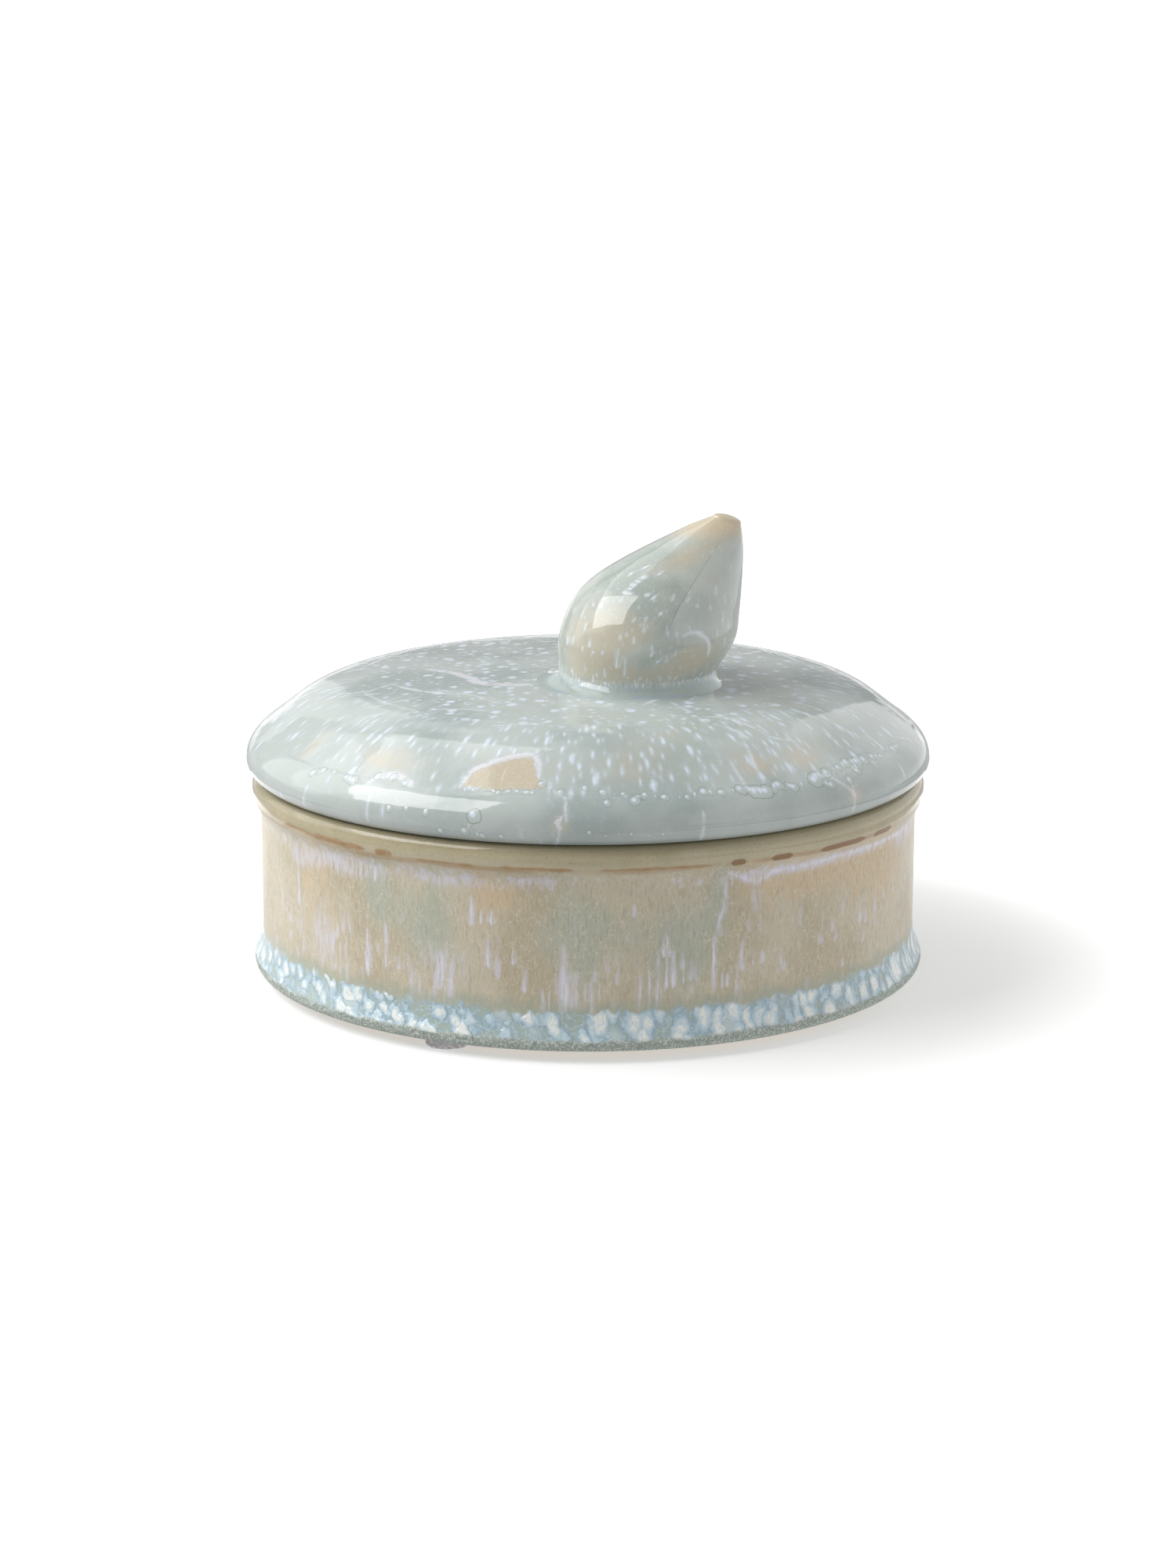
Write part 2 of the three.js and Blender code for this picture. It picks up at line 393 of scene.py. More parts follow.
def start_tree(name: str, start: str, sizes: Mapping[str, str], result: str) -> bpy.types.NodeTree:
    """Starts a Geometry Nodes tree with its named inputs and its output.

    Args:
        name: The tree's name.
        start: The name of the geometry that it starts from.
        sizes: The kind of each further input, by name.
        result: The name of the geometry that it makes.

    Returns:
        The tree, still without nodes.
    """
    tree = bpy.data.node_groups.new(name, "GeometryNodeTree")
    for title, kind in {start: "Geometry", **sizes}.items():
        tree.interface.new_socket(title, in_out="INPUT", socket_type=f"NodeSocket{kind}")
    tree.interface.new_socket(result, in_out="OUTPUT", socket_type="NodeSocketGeometry")
    return tree


def settle(
    mesh: bpy.types.Mesh, tree: bpy.types.NodeTree, sizes: Mapping[str, Any], name: str,
) -> bpy.types.Object:
    """Runs a Geometry Nodes tree on a mesh and keeps the result as a plain mesh.

    Args:
        mesh: What the tree starts from.
        tree: The tree.
        sizes: A value for each of its named inputs.
        name: The new piece's name.

    Returns:
        The piece, with its place in its mesh.
    """
    base = bpy.data.objects.new(f"{name}_base", mesh)
    bpy.context.scene.collection.objects.link(base)
    making = base.modifiers.new("making", "NODES")
    making.node_group = tree
    for item in tree.interface.items_tree:
        if item.in_out == "INPUT" and item.name in sizes:
            making[item.identifier] = sizes[item.name]
    settled = base.evaluated_get(bpy.context.evaluated_depsgraph_get())
    made = bpy.data.meshes.new_from_object(settled)
    made.name = name
    bpy.data.objects.remove(base)
    piece = bpy.data.objects.new(name, made)
    bpy.context.scene.collection.objects.link(piece)
    return piece


@dataclass
class TurnedWare:
    """A Geometry Nodes tree that turns an outline on the potter's wheel.

    The outline is a line of points (radius, 0, height). Each point carries "make": its place along the
    outline in mm, its skin and how uneven it may be. steps is the number of faces round a piece, and
    unevenness is how deep its hand-finished surface dips, in mm.
    """

    steps: int = 384
    unevenness: float = 0.3
    tree: bpy.types.NodeTree = field(init=False)

    def __post_init__(self) -> None:
        """Builds the tree."""
        sizes = {
            "Turn Steps": "Int", "Rows": "Int", "Unevenness": "Float", "Wave Length": "Float",
            "Seed": "Float", "Glaze": "Material",
        }
        self.tree = start_tree("turned_ware", "Outline", sizes, "Ware")
        self._grow()

    def _grow(self) -> None:
        """Adds the nodes: a grid wrapped round the axis, closed, made uneven and given its glaze."""
        add = partial(add_node, self.tree)
        given = add("NodeGroupInput").outputs
        rows, steps = given["Rows"], given["Turn Steps"]
        columns = add(MATH, (steps, 1.0), operation="ADD")
        grid = add("GeometryNodeMeshGrid", {"Vertices X": columns, "Vertices Y": rows})
        index = add("GeometryNodeInputIndex")
        row = add(MATH, (index, rows), operation="MODULO")
        column = add(MATH, (add(MATH, (index, rows), operation="DIVIDE"),), operation="FLOOR")
        part = add(MATH, (column, steps), operation="DIVIDE")
        angle = add(MATH, (part, 2 * math.pi, math.pi / 2), operation="MULTIPLY_ADD")
        cosine = add(MATH, (angle,), operation="COSINE")
        sine = add(MATH, (angle,), operation="SINE")
        place = add("GeometryNodeInputPosition")
        make = add("GeometryNodeInputNamedAttribute", {"Name": "make"}, data_type="FLOAT_VECTOR")
        outline = {"Geometry": given["Outline"], "Index": row}
        at = add("GeometryNodeSampleIndex", {**outline, "Value": place}, data_type="FLOAT_VECTOR")
        made = add("GeometryNodeSampleIndex", {**outline, "Value": make}, data_type="FLOAT_VECTOR")
        point, facts = add(PARTS, (at,)).outputs, add(PARTS, (made,)).outputs
        x = add(MATH, (point["X"], cosine), operation="MULTIPLY")
        y = add(MATH, (point["X"], sine), operation="MULTIPLY")
        spot = add(JOIN, (x, y, point["Z"]))
        layered = add("GeometryNodeSetPosition", {"Geometry": grid, "Position": spot})
        u = add(MATH, (facts["X"], cosine), operation="MULTIPLY")
        v = add(MATH, (facts["X"], sine), operation="MULTIPLY")
        flow = add(JOIN, (u, v, facts["X"]))
        for name, value, kind in (
            ("flow", flow, "FLOAT_VECTOR"), ("skin", facts["Y"], "FLOAT"), ("give", facts["Z"], "FLOAT"),
        ):
            feeds = {"Geometry": layered, "Name": name, "Value": value}
            layered = add("GeometryNodeStoreNamedAttribute", feeds, data_type=kind, domain="POINT")
        closed = add("GeometryNodeMergeByDistance", {"Geometry": layered, "Distance": 1e-6})
        swell = add(MATH, (1.0, given["Wave Length"]), operation="DIVIDE")
        grain = {"W": given["Seed"], "Scale": swell, "Detail": 1.0}
        waves = add(NOISE, grain, noise_dimensions="4D").outputs["Fac"]
        give = add("GeometryNodeInputNamedAttribute", {"Name": "give"}, data_type="FLOAT")
        depth = add(MATH, (waves, give), operation="MULTIPLY")
        inward = add(MATH, (given["Unevenness"], -1.0), operation="MULTIPLY")
        push = add(MATH, (depth, inward), operation="MULTIPLY")
        shift = add(VECTOR, {0: add("GeometryNodeInputNormal"), "Scale": push}, operation="SCALE")
        uneven = add("GeometryNodeSetPosition", {"Geometry": closed, "Offset": shift})
        smooth = add("GeometryNodeSetShadeSmooth", {"Geometry": uneven})
        real = add("GeometryNodeRealizeInstances", {"Geometry": smooth})
        glazed = add("GeometryNodeSetMaterial", {"Geometry": real, "Material": given["Glaze"]})
        add("NodeGroupOutput", {"Ware": glazed})

    def turn(
        self, name: str, outline: Sequence[Edge], wave: float, seed: float, glaze: bpy.types.Material,
    ) -> bpy.types.Object:
        """Turns an outline into a plain mesh object.

        Args:
            name: The new piece's name.
            outline: The closed outline, from the axis round to the axis.
            wave: The distance between dips, in mm.
            seed: Fixes the dips.
            glaze: The piece's material.

        Returns:
            The piece, with its place in its mesh.
        """
        points = np.vstack([edge.sample() for edge in outline] + [np.array([outline[-1].points[-1]])])
        last = outline[-1]
        facts = [(edge.skin.value, edge.give) for edge in outline for _ in range(edge.rows)]
        facts.append((last.skin.value, last.give))
        run = np.r_[0, np.cumsum(np.hypot(*np.diff(points, axis=0).T))]
        run = run[-1] - run
        line = bpy.data.meshes.new(f"{name}_outline")
        spots = [(r * MM, 0, z * MM) for r, z in points]
        line.from_pydata(spots, [(i, i + 1) for i in range(len(points) - 1)], [])
        write_attribute(line, "make", np.column_stack([run, np.array(facts)]))
        sizes = {
            "Turn Steps": self.steps, "Rows": len(points), "Unevenness": self.unevenness * MM,
            "Wave Length": wave * MM, "Seed": seed, "Glaze": glaze,
        }
        return settle(line, self.tree, sizes, name)


class GlazeTree:
    """Lays coats over each other in one material: colour, roughness and height together.

    Lengths are in mm. A cover is made of terms. A term is a socket, or (value, start, end), which rises
    softly from 0 at start to 1 at end, or (value, start, end, low, high).
    """

    def __init__(self, name: str, colour: str, roughness: float) -> None:
        """Starts a material with its ground coat.

        Args:
            name: The finish's name.
            colour: The ground coat's colour.
            roughness: The ground coat's roughness.
        """
        self.material = bpy.data.materials.new(name)
        self.material.use_nodes = True
        self.tree = self.material.node_tree
        self.tree.nodes.clear()
        self.add = partial(add_node, self.tree)
        self.colour: Any = linear(colour)
        self.roughness: Any = roughness
        self.height: Any = 0.0
        spot = self.add("ShaderNodeTexCoord").outputs["Object"]
        self.place = self.add(VECTOR, {0: spot, "Scale": 1 / MM}, operation="SCALE").outputs["Vector"]
        self.high = self.add(PARTS, (self.place,)).outputs["Z"]

    def where(self, *terms: Any, share: float = 1.0) -> Any:
        """Multiplies the terms of a cover.

        Args:
            *terms: The terms.
            share: The cover where every term is 1.

        Returns:
            The cover, from 0 to share.
        """
        cover: Any = share
        for term in terms:
            soft = self.add(RANGE, term, **SOFT) if isinstance(term, tuple) else term
            cover = self.add(MATH, (soft, cover), operation="MULTIPLY")
        return cover

    def mottle(self, term: Any, one: str, other: str) -> Any:
        """Gives a colour that goes from one hex colour to the other where a term rises."""
        return self.add(MIX, {0: self.where(term), "A": linear(one), "B": linear(other)}, data_type="RGBA")

    def clouds(self, size: float, detail: float = 2.0, stretch: Point = (1.0, 1.0), spot: Any = None) -> Any:
        """Makes soft random clouds.

        Args:
            size: The distance between clouds, in mm.
            detail: How many finer layers they have.
            stretch: How much longer they are round the piece and upwards.
            spot: The coordinates, or None for the object's own.

        Returns:
            A value round 0.5.
        """
        scale = (1 / (size * stretch[0]), 1 / (size * stretch[0]), 1 / (size * stretch[1]))
        scaled = self.add(VECTOR, (spot or self.place, scale), operation="MULTIPLY")
        return self.add(NOISE, {"Vector": scaled, "Scale": 1.0, "Detail": detail}).outputs["Fac"]

    def stray(self, value: Any, reach: float, size: float, stretch: Point = (1.0, 1.0)) -> Any:
        """Makes a value stray by about reach, in waves of size mm, stretched as clouds are."""
        swing = self.add(MATH, (self.clouds(size, 2.0, stretch), 0.5), operation="SUBTRACT")
        return self.add(MATH, (swing, reach * 4, value), operation="MULTIPLY_ADD")

    def warp(self, spot: Any, reach: float, size: float) -> Any:
        """Pushes coordinates to and fro.

        Args:
            spot: The coordinates.
            reach: How far they are pushed, in mm.
            size: The distance between pushes, in mm.

        Returns:
            The new coordinates.
        """
        noise = self.add(NOISE, {"Vector": self.place, "Scale": 1 / size, "Detail": 2.0}).outputs["Color"]
        swing = self.add(VECTOR, (noise, (0.5, 0.5, 0.5)), operation="SUBTRACT")
        return self.add(VECTOR, (swing, (reach * 4,) * 3, spot), operation="MULTIPLY_ADD")

    def band(self, value: Any, middle: float, half: float, soft: float) -> Any:
        """Is 1 within half of middle and falls to 0 over soft."""
        gap = self.add(MATH, (value, middle), operation="SUBTRACT")
        return self.where((self.add(MATH, (gap,), operation="ABSOLUTE"), half + soft, half))

    def drops(self, spot: Any, cell: float, sizes: Point, share: float) -> Any:
        """Scatters round drops of many sizes.

        Args:
            spot: Coordinates in mm, stretched where the drops are to be long.
            cell: The distance between drops.
            sizes: The smallest and the largest radius.
            share: The share of places that hold a drop.

        Returns:
            How far inside a drop a point lies, in mm, below 0 outside.
        """
        cells = self.add(CELLS, {"Vector": spot, "Scale": 1 / cell, "Randomness": 0.9})
        chance = self.add(CHANNELS, (cells.outputs["Color"],)).outputs
        size = self.add(RANGE, (chance["Red"], 0.0, 1.0, sizes[0] + 1, sizes[1] + 1))
        kept = self.add(MATH, (chance["Green"], share), operation="LESS_THAN")
        radius = self.add(MATH, (size, kept, -1.0), operation="MULTIPLY_ADD")
        return self.add(MATH, (cells.outputs["Distance"], -cell, radius), operation="MULTIPLY_ADD")

    def falls(self, cell: float, tall: float, sizes: Point, share: float) -> Any:
        """Scatters runs with a drawn-out top and a blunt foot, as glaze that slid down a wall leaves.

        Args:
            cell: The distance between runs, round the piece.
            tall: How many times further apart they are upwards.
            sizes: The smallest and the largest half width.
            share: The share of places that hold one.

        Returns:
            How far inside a run a point lies, in mm, below 0 outside.
        """
        spot = self.add(VECTOR, (self.warp(self.place, 0.3, 2.6), (1.0, 1.0, 1 / tall)), operation="MULTIPLY")
        cells = self.add(CELLS, {"Vector": spot, "Scale": 1 / cell, "Randomness": 0.9})
        chance = self.add(CHANNELS, (cells.outputs["Color"],)).outputs
        off = self.add(VECTOR, (spot, cells.outputs["Position"]), operation="SUBTRACT")
        flat = self.add(VECTOR, (off, (1.0, 1.0, 0.0)), operation="MULTIPLY")
        across = self.add(VECTOR, (flat,), operation="LENGTH").outputs["Value"]
        up = self.add(PARTS, (off,)).outputs["Z"]
        kept = self.add(MATH, (chance["Green"], share), operation="LESS_THAN")
        half = self.add(RANGE, (chance["Red"], 0.0, 1.0, sizes[0], sizes[1]))
        shape = self.where((up, cell * 0.5, -cell * 0.3), (up, -cell * 0.5, -cell * 0.3), kept, half)
        return self.add(MATH, (shape, across), operation="SUBTRACT")

    def strokes(self, name: str, ragged: float, stretch: Point = (1.0, 1.0)) -> Any:
        """Measures how far inside the laid strokes a point lies.

        Args:
            name: The strokes' name in the mesh.
            ragged: How much their edges stray, in mm.
            stretch: How much longer the raggedness is round the piece and upwards.

        Returns:
            The distance in mm, below 0 outside.
        """
        side = self.add(FACT, attribute_name=f"{name}_side").outputs["Fac"]
        half = self.add(FACT, attribute_name=f"{name}_half").outputs["Fac"]
        across = self.add(MATH, (side,), operation="ABSOLUTE")
        inside = self.add(MATH, (half, across), operation="SUBTRACT")
        return self.stray(inside, ragged, 1.2, stretch)

    def lay(
        self, terms: Sequence[Any], colour: Any, roughness: float | None = None,
        height: float | None = None, share: float = 1.0,
    ) -> None:
        """Lays a coat.

        Args:
            terms: The terms of where it lies.
            colour: Its colour, a hex code or a socket.
            roughness: Its roughness, or None to keep what lies under it.
            height: How far it stands up, in mm, or None.
            share: How much it hides what lies under it.
        """
        cover = self.where(*terms, share=share)
        over = linear(colour) if isinstance(colour, str) else colour
        self.colour = self.add(MIX, {0: cover, "A": self.colour, "B": over}, data_type="RGBA")
        if roughness is not None:
            self.roughness = self.add(MIX, {0: cover, "A": self.roughness, "B": roughness})
        if height is not None:
            self.height = self.add(MATH, (cover, height, self.height), operation="MULTIPLY_ADD")

    def ripple(self, size: float, height: float) -> None:
        """Adds soft waves of size mm to the height, in mm."""
        self.height = self.add(MATH, (self.clouds(size, 1.0), height, self.height), operation="MULTIPLY_ADD")

    def finish(self, ior: float, more: Mapping[str, Any] | None = None) -> bpy.types.Material:
        """Joins the coats to one surface.

        Args:
            ior: The glaze's index of refraction.
            more: Other inputs of the surface, such as a sheen.

        Returns:
            The material.
        """
        bump = self.add("ShaderNodeBump", {"Distance": MM, "Height": self.height})
        surface = self.add("ShaderNodeBsdfPrincipled", {
            "Base Color": self.colour, "Roughness": self.roughness, "Normal": bump, "IOR": ior,
            **(more or {}),
        })
        self.add("ShaderNodeOutputMaterial", {"Surface": surface})
        return self.material


@dataclass(frozen=True)
class LidGlaze:
    """Reactive stoneware glaze, poured on thick and fired to a glass.

    To the eye it is a hard-edged gloss over milky grey-green. The glaze parted while it was molten, so
    white flecks lie on the flat crown and are drawn out to streaks where it ran over the shoulder. It
    thinned to peach over the clay at the shoulder, and gas left ringed beads where it gathered.
    """

    light: str = "#bfc7c3"
    deep: str = "#a9b4b1"
    grey: str = "#9eaaa8"
    peach: str = "#d4cab7"
    warm: str = "#cfc2a9"
    haze: str = "#cdd9de"
    milk: str = "#e0eaf7"
    blush: str = "#ecdfdb"
    ring: str = "#8b9795"
    rim: str = "#c6d0cd"
    pit: str = "#85877c"
    clay: str = "#cdbb9a"
    speck: str = "#b39c78"
    inner: str = "#bcc4bf"
    shoulder_radius: float = 68.0
    streak_stretch: float = 2.9

    def material(self) -> bpy.types.Material:
        """Builds the finish.

        Returns:
            The material.
        """
        g = GlazeTree("lid_reactive_glaze", self.light, 0.07)
        flow = g.add(FACT, attribute_name="flow").outputs["Vector"]
        run = g.add(PARTS, (flow,)).outputs["Z"]
        g.lay([(g.clouds(24, 4.0), 0.42, 0.62)], self.deep)
        broken = g.stray(g.add(FACT, attribute_name="tint").outputs["Fac"], 0.22, 6.0)
        g.lay([(broken, 0.05, 1.0)], self.peach, share=0.8)
        g.lay([(broken, -0.12, -0.85)], self.grey, share=0.7)
        # fine curdling of the glass, about half a millimetre
        g.lay([(g.clouds(0.6), 0.48, 0.72)], self.haze, share=0.12)
        g.lay([(g.clouds(2.1, 3.0), 0.56, 0.74)], self.haze, share=0.2)
        self._flecks(g, flow, run)
        self._thin_places(g)
        self._veins(g)
        self._beads(g)
        pits = g.drops(g.place, 9.0, (0.1, 0.2), 0.4)
        g.lay([(pits, -0.05, 0.05)], self.pit, 0.3, -0.03, share=0.6)
        skin = g.add(FACT, attribute_name="skin").outputs["Fac"]
        g.lay([(skin, 0.4, 0.6)], self.inner, 0.16)
        # the ground seat and flange are bare clay, matt and speckled
        bare = g.mottle((g.clouds(0.5), 0.55, 0.7), self.clay, self.speck)
        g.lay([(skin, 1.4, 1.6)], bare, 0.75)
        g.ripple(9.0, 0.11)
        g.ripple(2.8, 0.035)
        g.ripple(0.8, 0.003)
        return g.finish(1.55)

    def _thin_places(self, g: GlazeTree) -> None:
        """Lays the peach places where the glaze thinned over the clay, with their torn white edges.

        Args:
            g: The tree that gets the coats.
        """
        patch = g.add(FACT, attribute_name="patch").outputs["Fac"]
        edge = g.stray(patch, 0.7, 2.2)
        sandy = g.mottle((g.clouds(0.7), 0.4, 0.7), self.warm, self.peach)
        g.lay([(edge, 0.4, -0.4)], sandy, share=0.9)
        torn = g.band(g.stray(patch, 0.6, 1.3), 0.3, 0.15, 0.6)
        g.lay([torn, (g.clouds(3.2), 0.5, 0.64)], self.milk, share=0.6)

    def _flecks(self, g: GlazeTree, flow: Any, run: Any) -> None:
        """Lays the milky flecks: round on the crown, drawn out over the shoulder, few on the roll.

        Args:
            g: The tree that gets the coats.
            flow: Coordinates that follow the outline outwards, in mm.
            run: The distance from the crown's middle along the outline, in mm.
        """
        flat = g.add(VECTOR, (flow, (1.0, 1.0, 0.0)), operation="MULTIPLY")
        outward = g.add(VECTOR, (flat,), operation="NORMALIZE")
        round_the_dome = g.add(VECTOR, {0: outward, "Scale": self.shoulder_radius}, operation="SCALE")
        down = g.add(JOIN, {2: g.add(MATH, (run, self.streak_stretch), operation="DIVIDE")})
        rolled = g.add(VECTOR, (round_the_dome, down), operation="ADD")
        crown = g.drops(g.warp(flat, 0.3, 1.6), 3.3, (0.5, 1.25), 0.92)
        small = g.drops(g.warp(flat, 0.2, 1.1), 1.9, (0.2, 0.5), 0.5)
        streak = g.drops(g.warp(rolled, 0.2, 1.6), 2.3, (0.25, 0.66), 0.92)
        thread = g.drops(g.warp(rolled, 0.12, 1.2), 1.6, (0.2, 0.46), 0.78)
        some = (g.clouds(9.0), 0.36, 0.52, 0.2, 1.0)
        bead = g.drops(g.warp(rolled, 0.2, 1.2), 3.6, (0.25, 0.6), 0.5)
        top, shoulder, roll = (run, 62.0, 48.0), (run, 46.0, 60.0), (run, 94.2, 93.6)
        for gap, where in (
            (crown, [top]), (small, [top]), (streak, [shoulder, (run, 82.0, 76.0)]),
            (thread, [shoulder, (run, 80.0, 74.0), some]), (bead, [(run, 78.0, 83.0), roll]),
        ):
            g.lay([(gap, -0.55, 0.1), *where], self.haze, share=0.4)
            g.lay([(gap, -0.2, 0.35), *where], self.milk, 0.1, 0.035, share=0.9)

    def _veins(self, g: GlazeTree) -> None:
        """Lays the long veins, pinkish white in a faint bluish halo.

        Args:
            g: The tree that gets the coats.
        """
        vein = g.strokes("vein", 0.2)
        tone = g.mottle(g.clouds(5, 1.0), self.milk, self.blush)
        broken = (g.clouds(2.6), 0.34, 0.5, 0.3, 1.0)
        g.lay([(vein, -0.8, 0.1), broken], self.haze, share=0.4)
        g.lay([(vein, -0.25, 0.4), broken], tone, 0.14, 0.03, share=0.75)

    def _beads(self, g: GlazeTree) -> None:
        """Lays the beads along the shoulder, each a milky core in a thin dark ring.

        Args:
            g: The tree that gets the coats.
        """
        spot = g.add(PARTS, (g.add(FACT, attribute_name="bead").outputs["Vector"],)).outputs
        size = g.add(MATH, (spot["Z"], 0.001), operation="MAXIMUM")
        real = (spot["Z"], 0.05, 0.25)
        # the core sits off its ring's middle, by a fifth of the bead
        for shift, outer, inner, colour, height, share in (
            (0.0, 1.5, 1.0, self.rim, 0.02, 0.35), (0.22, 0.85, 0.25, self.milk, 0.06, 0.95),
        ):
            across = g.add(MATH, (size, shift, spot["X"]), operation="MULTIPLY_ADD")
            along = g.add(MATH, (size, shift, spot["Y"]), operation="MULTIPLY_ADD")
            flat = g.add(JOIN, (across, along))
            off = g.add(VECTOR, (flat,), operation="LENGTH").outputs["Value"]
            reach = g.stray(g.add(MATH, (off, size), operation="DIVIDE"), 0.14, 1.2)
            g.lay([(reach, outer, inner), real], colour, 0.1, height, share)
            if not shift:
                g.lay([g.band(reach, 1.5, 0.04, 0.1), real], self.ring, share=0.75)


@dataclass(frozen=True)
class PotGlaze:
    """Reactive stoneware glaze, dipped and fired to a satin, with a glossier lip.

    To the eye it is sandy beige with green-grey runs, crossed by lavender-white streaks with drawn-out
    tops. It broke to burnt orange in the groove under the lip, and it pooled at the foot, where it
    curdled to thick white clots edged in ice blue, above a matt, grainy rim.
    """

    sand: str = "#cdc3ac"
    straw: str = "#c0b499"
    sage: str = "#b7bba9"
    peach: str = "#d5bf9e"
    lavender: str = "#dcd9e4"
    bright: str = "#ebebf4"
    olive: str = "#bab091"
    rust: str = "#a47e4c"
    burnt: str = "#845c2c"
    curd: str = "#f1f4ee"
    ice: str = "#c3d8e2"
    rim: str = "#a0b8c4"
    pool: str = "#adbbb4"
    moss: str = "#a9b09f"
    worm: str = "#dfd8c4"
    fibre: str = "#ddd3bd"
    gap: str = "#9f947a"
    lip: str = "#c0b596"
    grit: str = "#93896b"
    # painted shade under the lid's overhang, laid on the lip's top
    edge: str = "#8a7f66"
    scorch: str = "#8f5f2c"
    wiped: str = "#98a39b"
    grain: str = "#ccd1ca"
    inner: str = "#c2c7be"
    inner_pool: str = "#b4bbb2"
    clay: str = "#c9b692"
    speck: str = "#ab9673"

    def material(self) -> bpy.types.Material:
        """Builds the finish.

        Returns:
            The material.
        """
        g = GlazeTree("pot_reactive_glaze", self.sand, 0.36)
        g.lay([(g.clouds(18, 3.0, (1.0, 1.6)), 0.42, 0.62)], self.straw)
        broken = g.stray(g.add(FACT, attribute_name="tint").outputs["Fac"], 0.28, 7.0, (0.6, 2.2))
        g.lay([(broken, 0.1, 0.9)], self.peach)
        g.lay([(broken, -0.1, -0.9)], self.sage)
        self._crinkle(g)
        self._streaks(g)
        self._lip(g)
        self._foot(g)
        skin = g.add(FACT, attribute_name="skin").outputs["Fac"]
        g.lay([(skin, 0.4, 0.6)], g.mottle((g.clouds(12, 3.0), 0.45, 0.6), self.inner, self.inner_pool), 0.16)
        bare = g.mottle((g.clouds(0.5), 0.55, 0.7), self.clay, self.speck)
        g.lay([(skin, 1.4, 1.6)], bare, 0.8, 0.02)
        g.ripple(11.0, 0.1)
        g.ripple(3.0, 0.03)
        return g.finish(1.52)

    def _crinkle(self, g: GlazeTree) -> None:
        """Lays the satin glaze's fine crinkle: upright fibres and short worms, under a millimetre wide.

        Args:
            g: The tree that gets the coats.
        """
        worm = g.band(g.clouds(1.5, 2.0, (0.8, 1.3)), 0.5, 0.006, 0.03)
        g.lay([worm, (g.clouds(4.0), 0.36, 0.52)], self.worm, None, 0.02, share=0.6)
        g.lay([(g.clouds(0.6, 2.0, (0.8, 2.6)), 0.5, 0.75)], self.fibre, share=0.3)
        g.lay([(g.clouds(0.7, 2.0, (0.8, 3.4)), 0.5, 0.28)], self.gap, None, -0.01, share=0.35)

    def _streaks(self, g: GlazeTree) -> None:
        """Lays the lavender-white streaks that ran down the wall.

        Args:
            g: The tree that gets the coats.
        """
        wisp = (g.clouds(0.9, 2.0, (0.7, 5.0)), 0.3, 0.56)
        haze = g.stray(g.add(FACT, attribute_name="haze").outputs["Fac"], 0.25, 2.4, (0.6, 2.6))
        g.lay([(haze, 0.1, 0.8), wisp], self.lavender, share=0.75)
        some = (g.clouds(11, 2.0, (1.2, 0.9)), 0.4, 0.56)
        low = [(g.high, 8.0, 11.0), (g.high, 34.0, 20.0, 0.1, 1.0)]
        thin = g.falls(2.4, 2.6, (0.3, 0.75), 0.8)
        wide = g.falls(4.4, 2.2, (0.6, 1.3), 0.6)
        for gap, where in ((thin, [some, *low]), (wide, [wisp, *low])):
            ragged = g.stray(gap, 0.35, 0.9, (0.7, 2.6))
            g.lay([(ragged, -0.35, 0.6), *where], self.lavender, None, 0.02, share=0.7)
        tall = g.add(VECTOR, (g.warp(g.place, 0.3, 1.5), (1.0, 1.0, 0.55)), operation="MULTIPLY")
        row = g.drops(tall, 1.7, (0.3, 0.9), 0.8)
        where = [g.band(g.high, 39.6, 0.8, 1.4), (g.clouds(8.0, 2.0), 0.38, 0.52)]
        g.lay([(row, -0.3, 0.3), *where], self.lavender, None, 0.02, share=0.75)
        # the largest runs, listed one by one
        run = g.strokes("run", 0.3, (0.6, 2.4))
        g.lay([(run, -0.6, 0.4), wisp], self.lavender, None, 0.02, share=0.75)
        g.lay([(run, 0.0, 0.8), wisp], self.bright, 0.3, 0.03, share=0.75)

    def _lip(self, g: GlazeTree) -> None:
        """Lays the thicker glossy glaze of the lip, the painted shade under the lid's overhang at its top,
        and the brown line in the groove under it.

        Args:
            g: The tree that gets the coats.
        """
        level = g.stray(g.high, 0.7, 30.0)
        tone = g.mottle((g.clouds(9, 3.0), 0.42, 0.6), self.olive, self.lip)
        g.lay([(level, 42.4, 44.0)], tone, 0.1)
        g.lay([(level, 43.0, 44.5), (g.clouds(0.5), 0.5, 0.72)], self.grit, share=0.3)
        # painted shade: the lip darkens towards its top, where the lid's overhang shades it
        g.lay([(g.high, 45.0, 47.4)], self.edge, share=0.45)
        ember = (g.clouds(16), 0.36, 0.6, 0.35, 0.9)
        g.lay([g.band(level, 42.7, 0.2, 0.7), ember], self.rust, share=0.6)
        glow = g.strokes("ember", 0.25, (3.0, 1.0))
        g.lay([(glow, -0.45, 0.4)], self.rust, share=0.85)
        g.lay([(glow, 0.2, 0.6), (g.clouds(1.2, 2.0, (3.0, 0.8)), 0.45, 0.6)], self.scorch, share=0.6)
        dash = g.strokes("dash", 0.1, (2.0, 0.8))
        g.lay([(dash, -0.2, 0.3)], self.burnt, None, -0.05, share=0.85)

    def _foot(self, g: GlazeTree) -> None:
        """Lays the curdled roll of thick glaze at the foot and the matt band under it.

        Args:
            g: The tree that gets the coats.
        """
        level = g.stray(g.high, 1.2, 3.2, (1.0, 1.6))
        g.lay([(level, 15.0, 10.8), (g.clouds(1.3), 0.3, 0.6, 0.7, 1.0)], self.moss, 0.3, share=0.9)
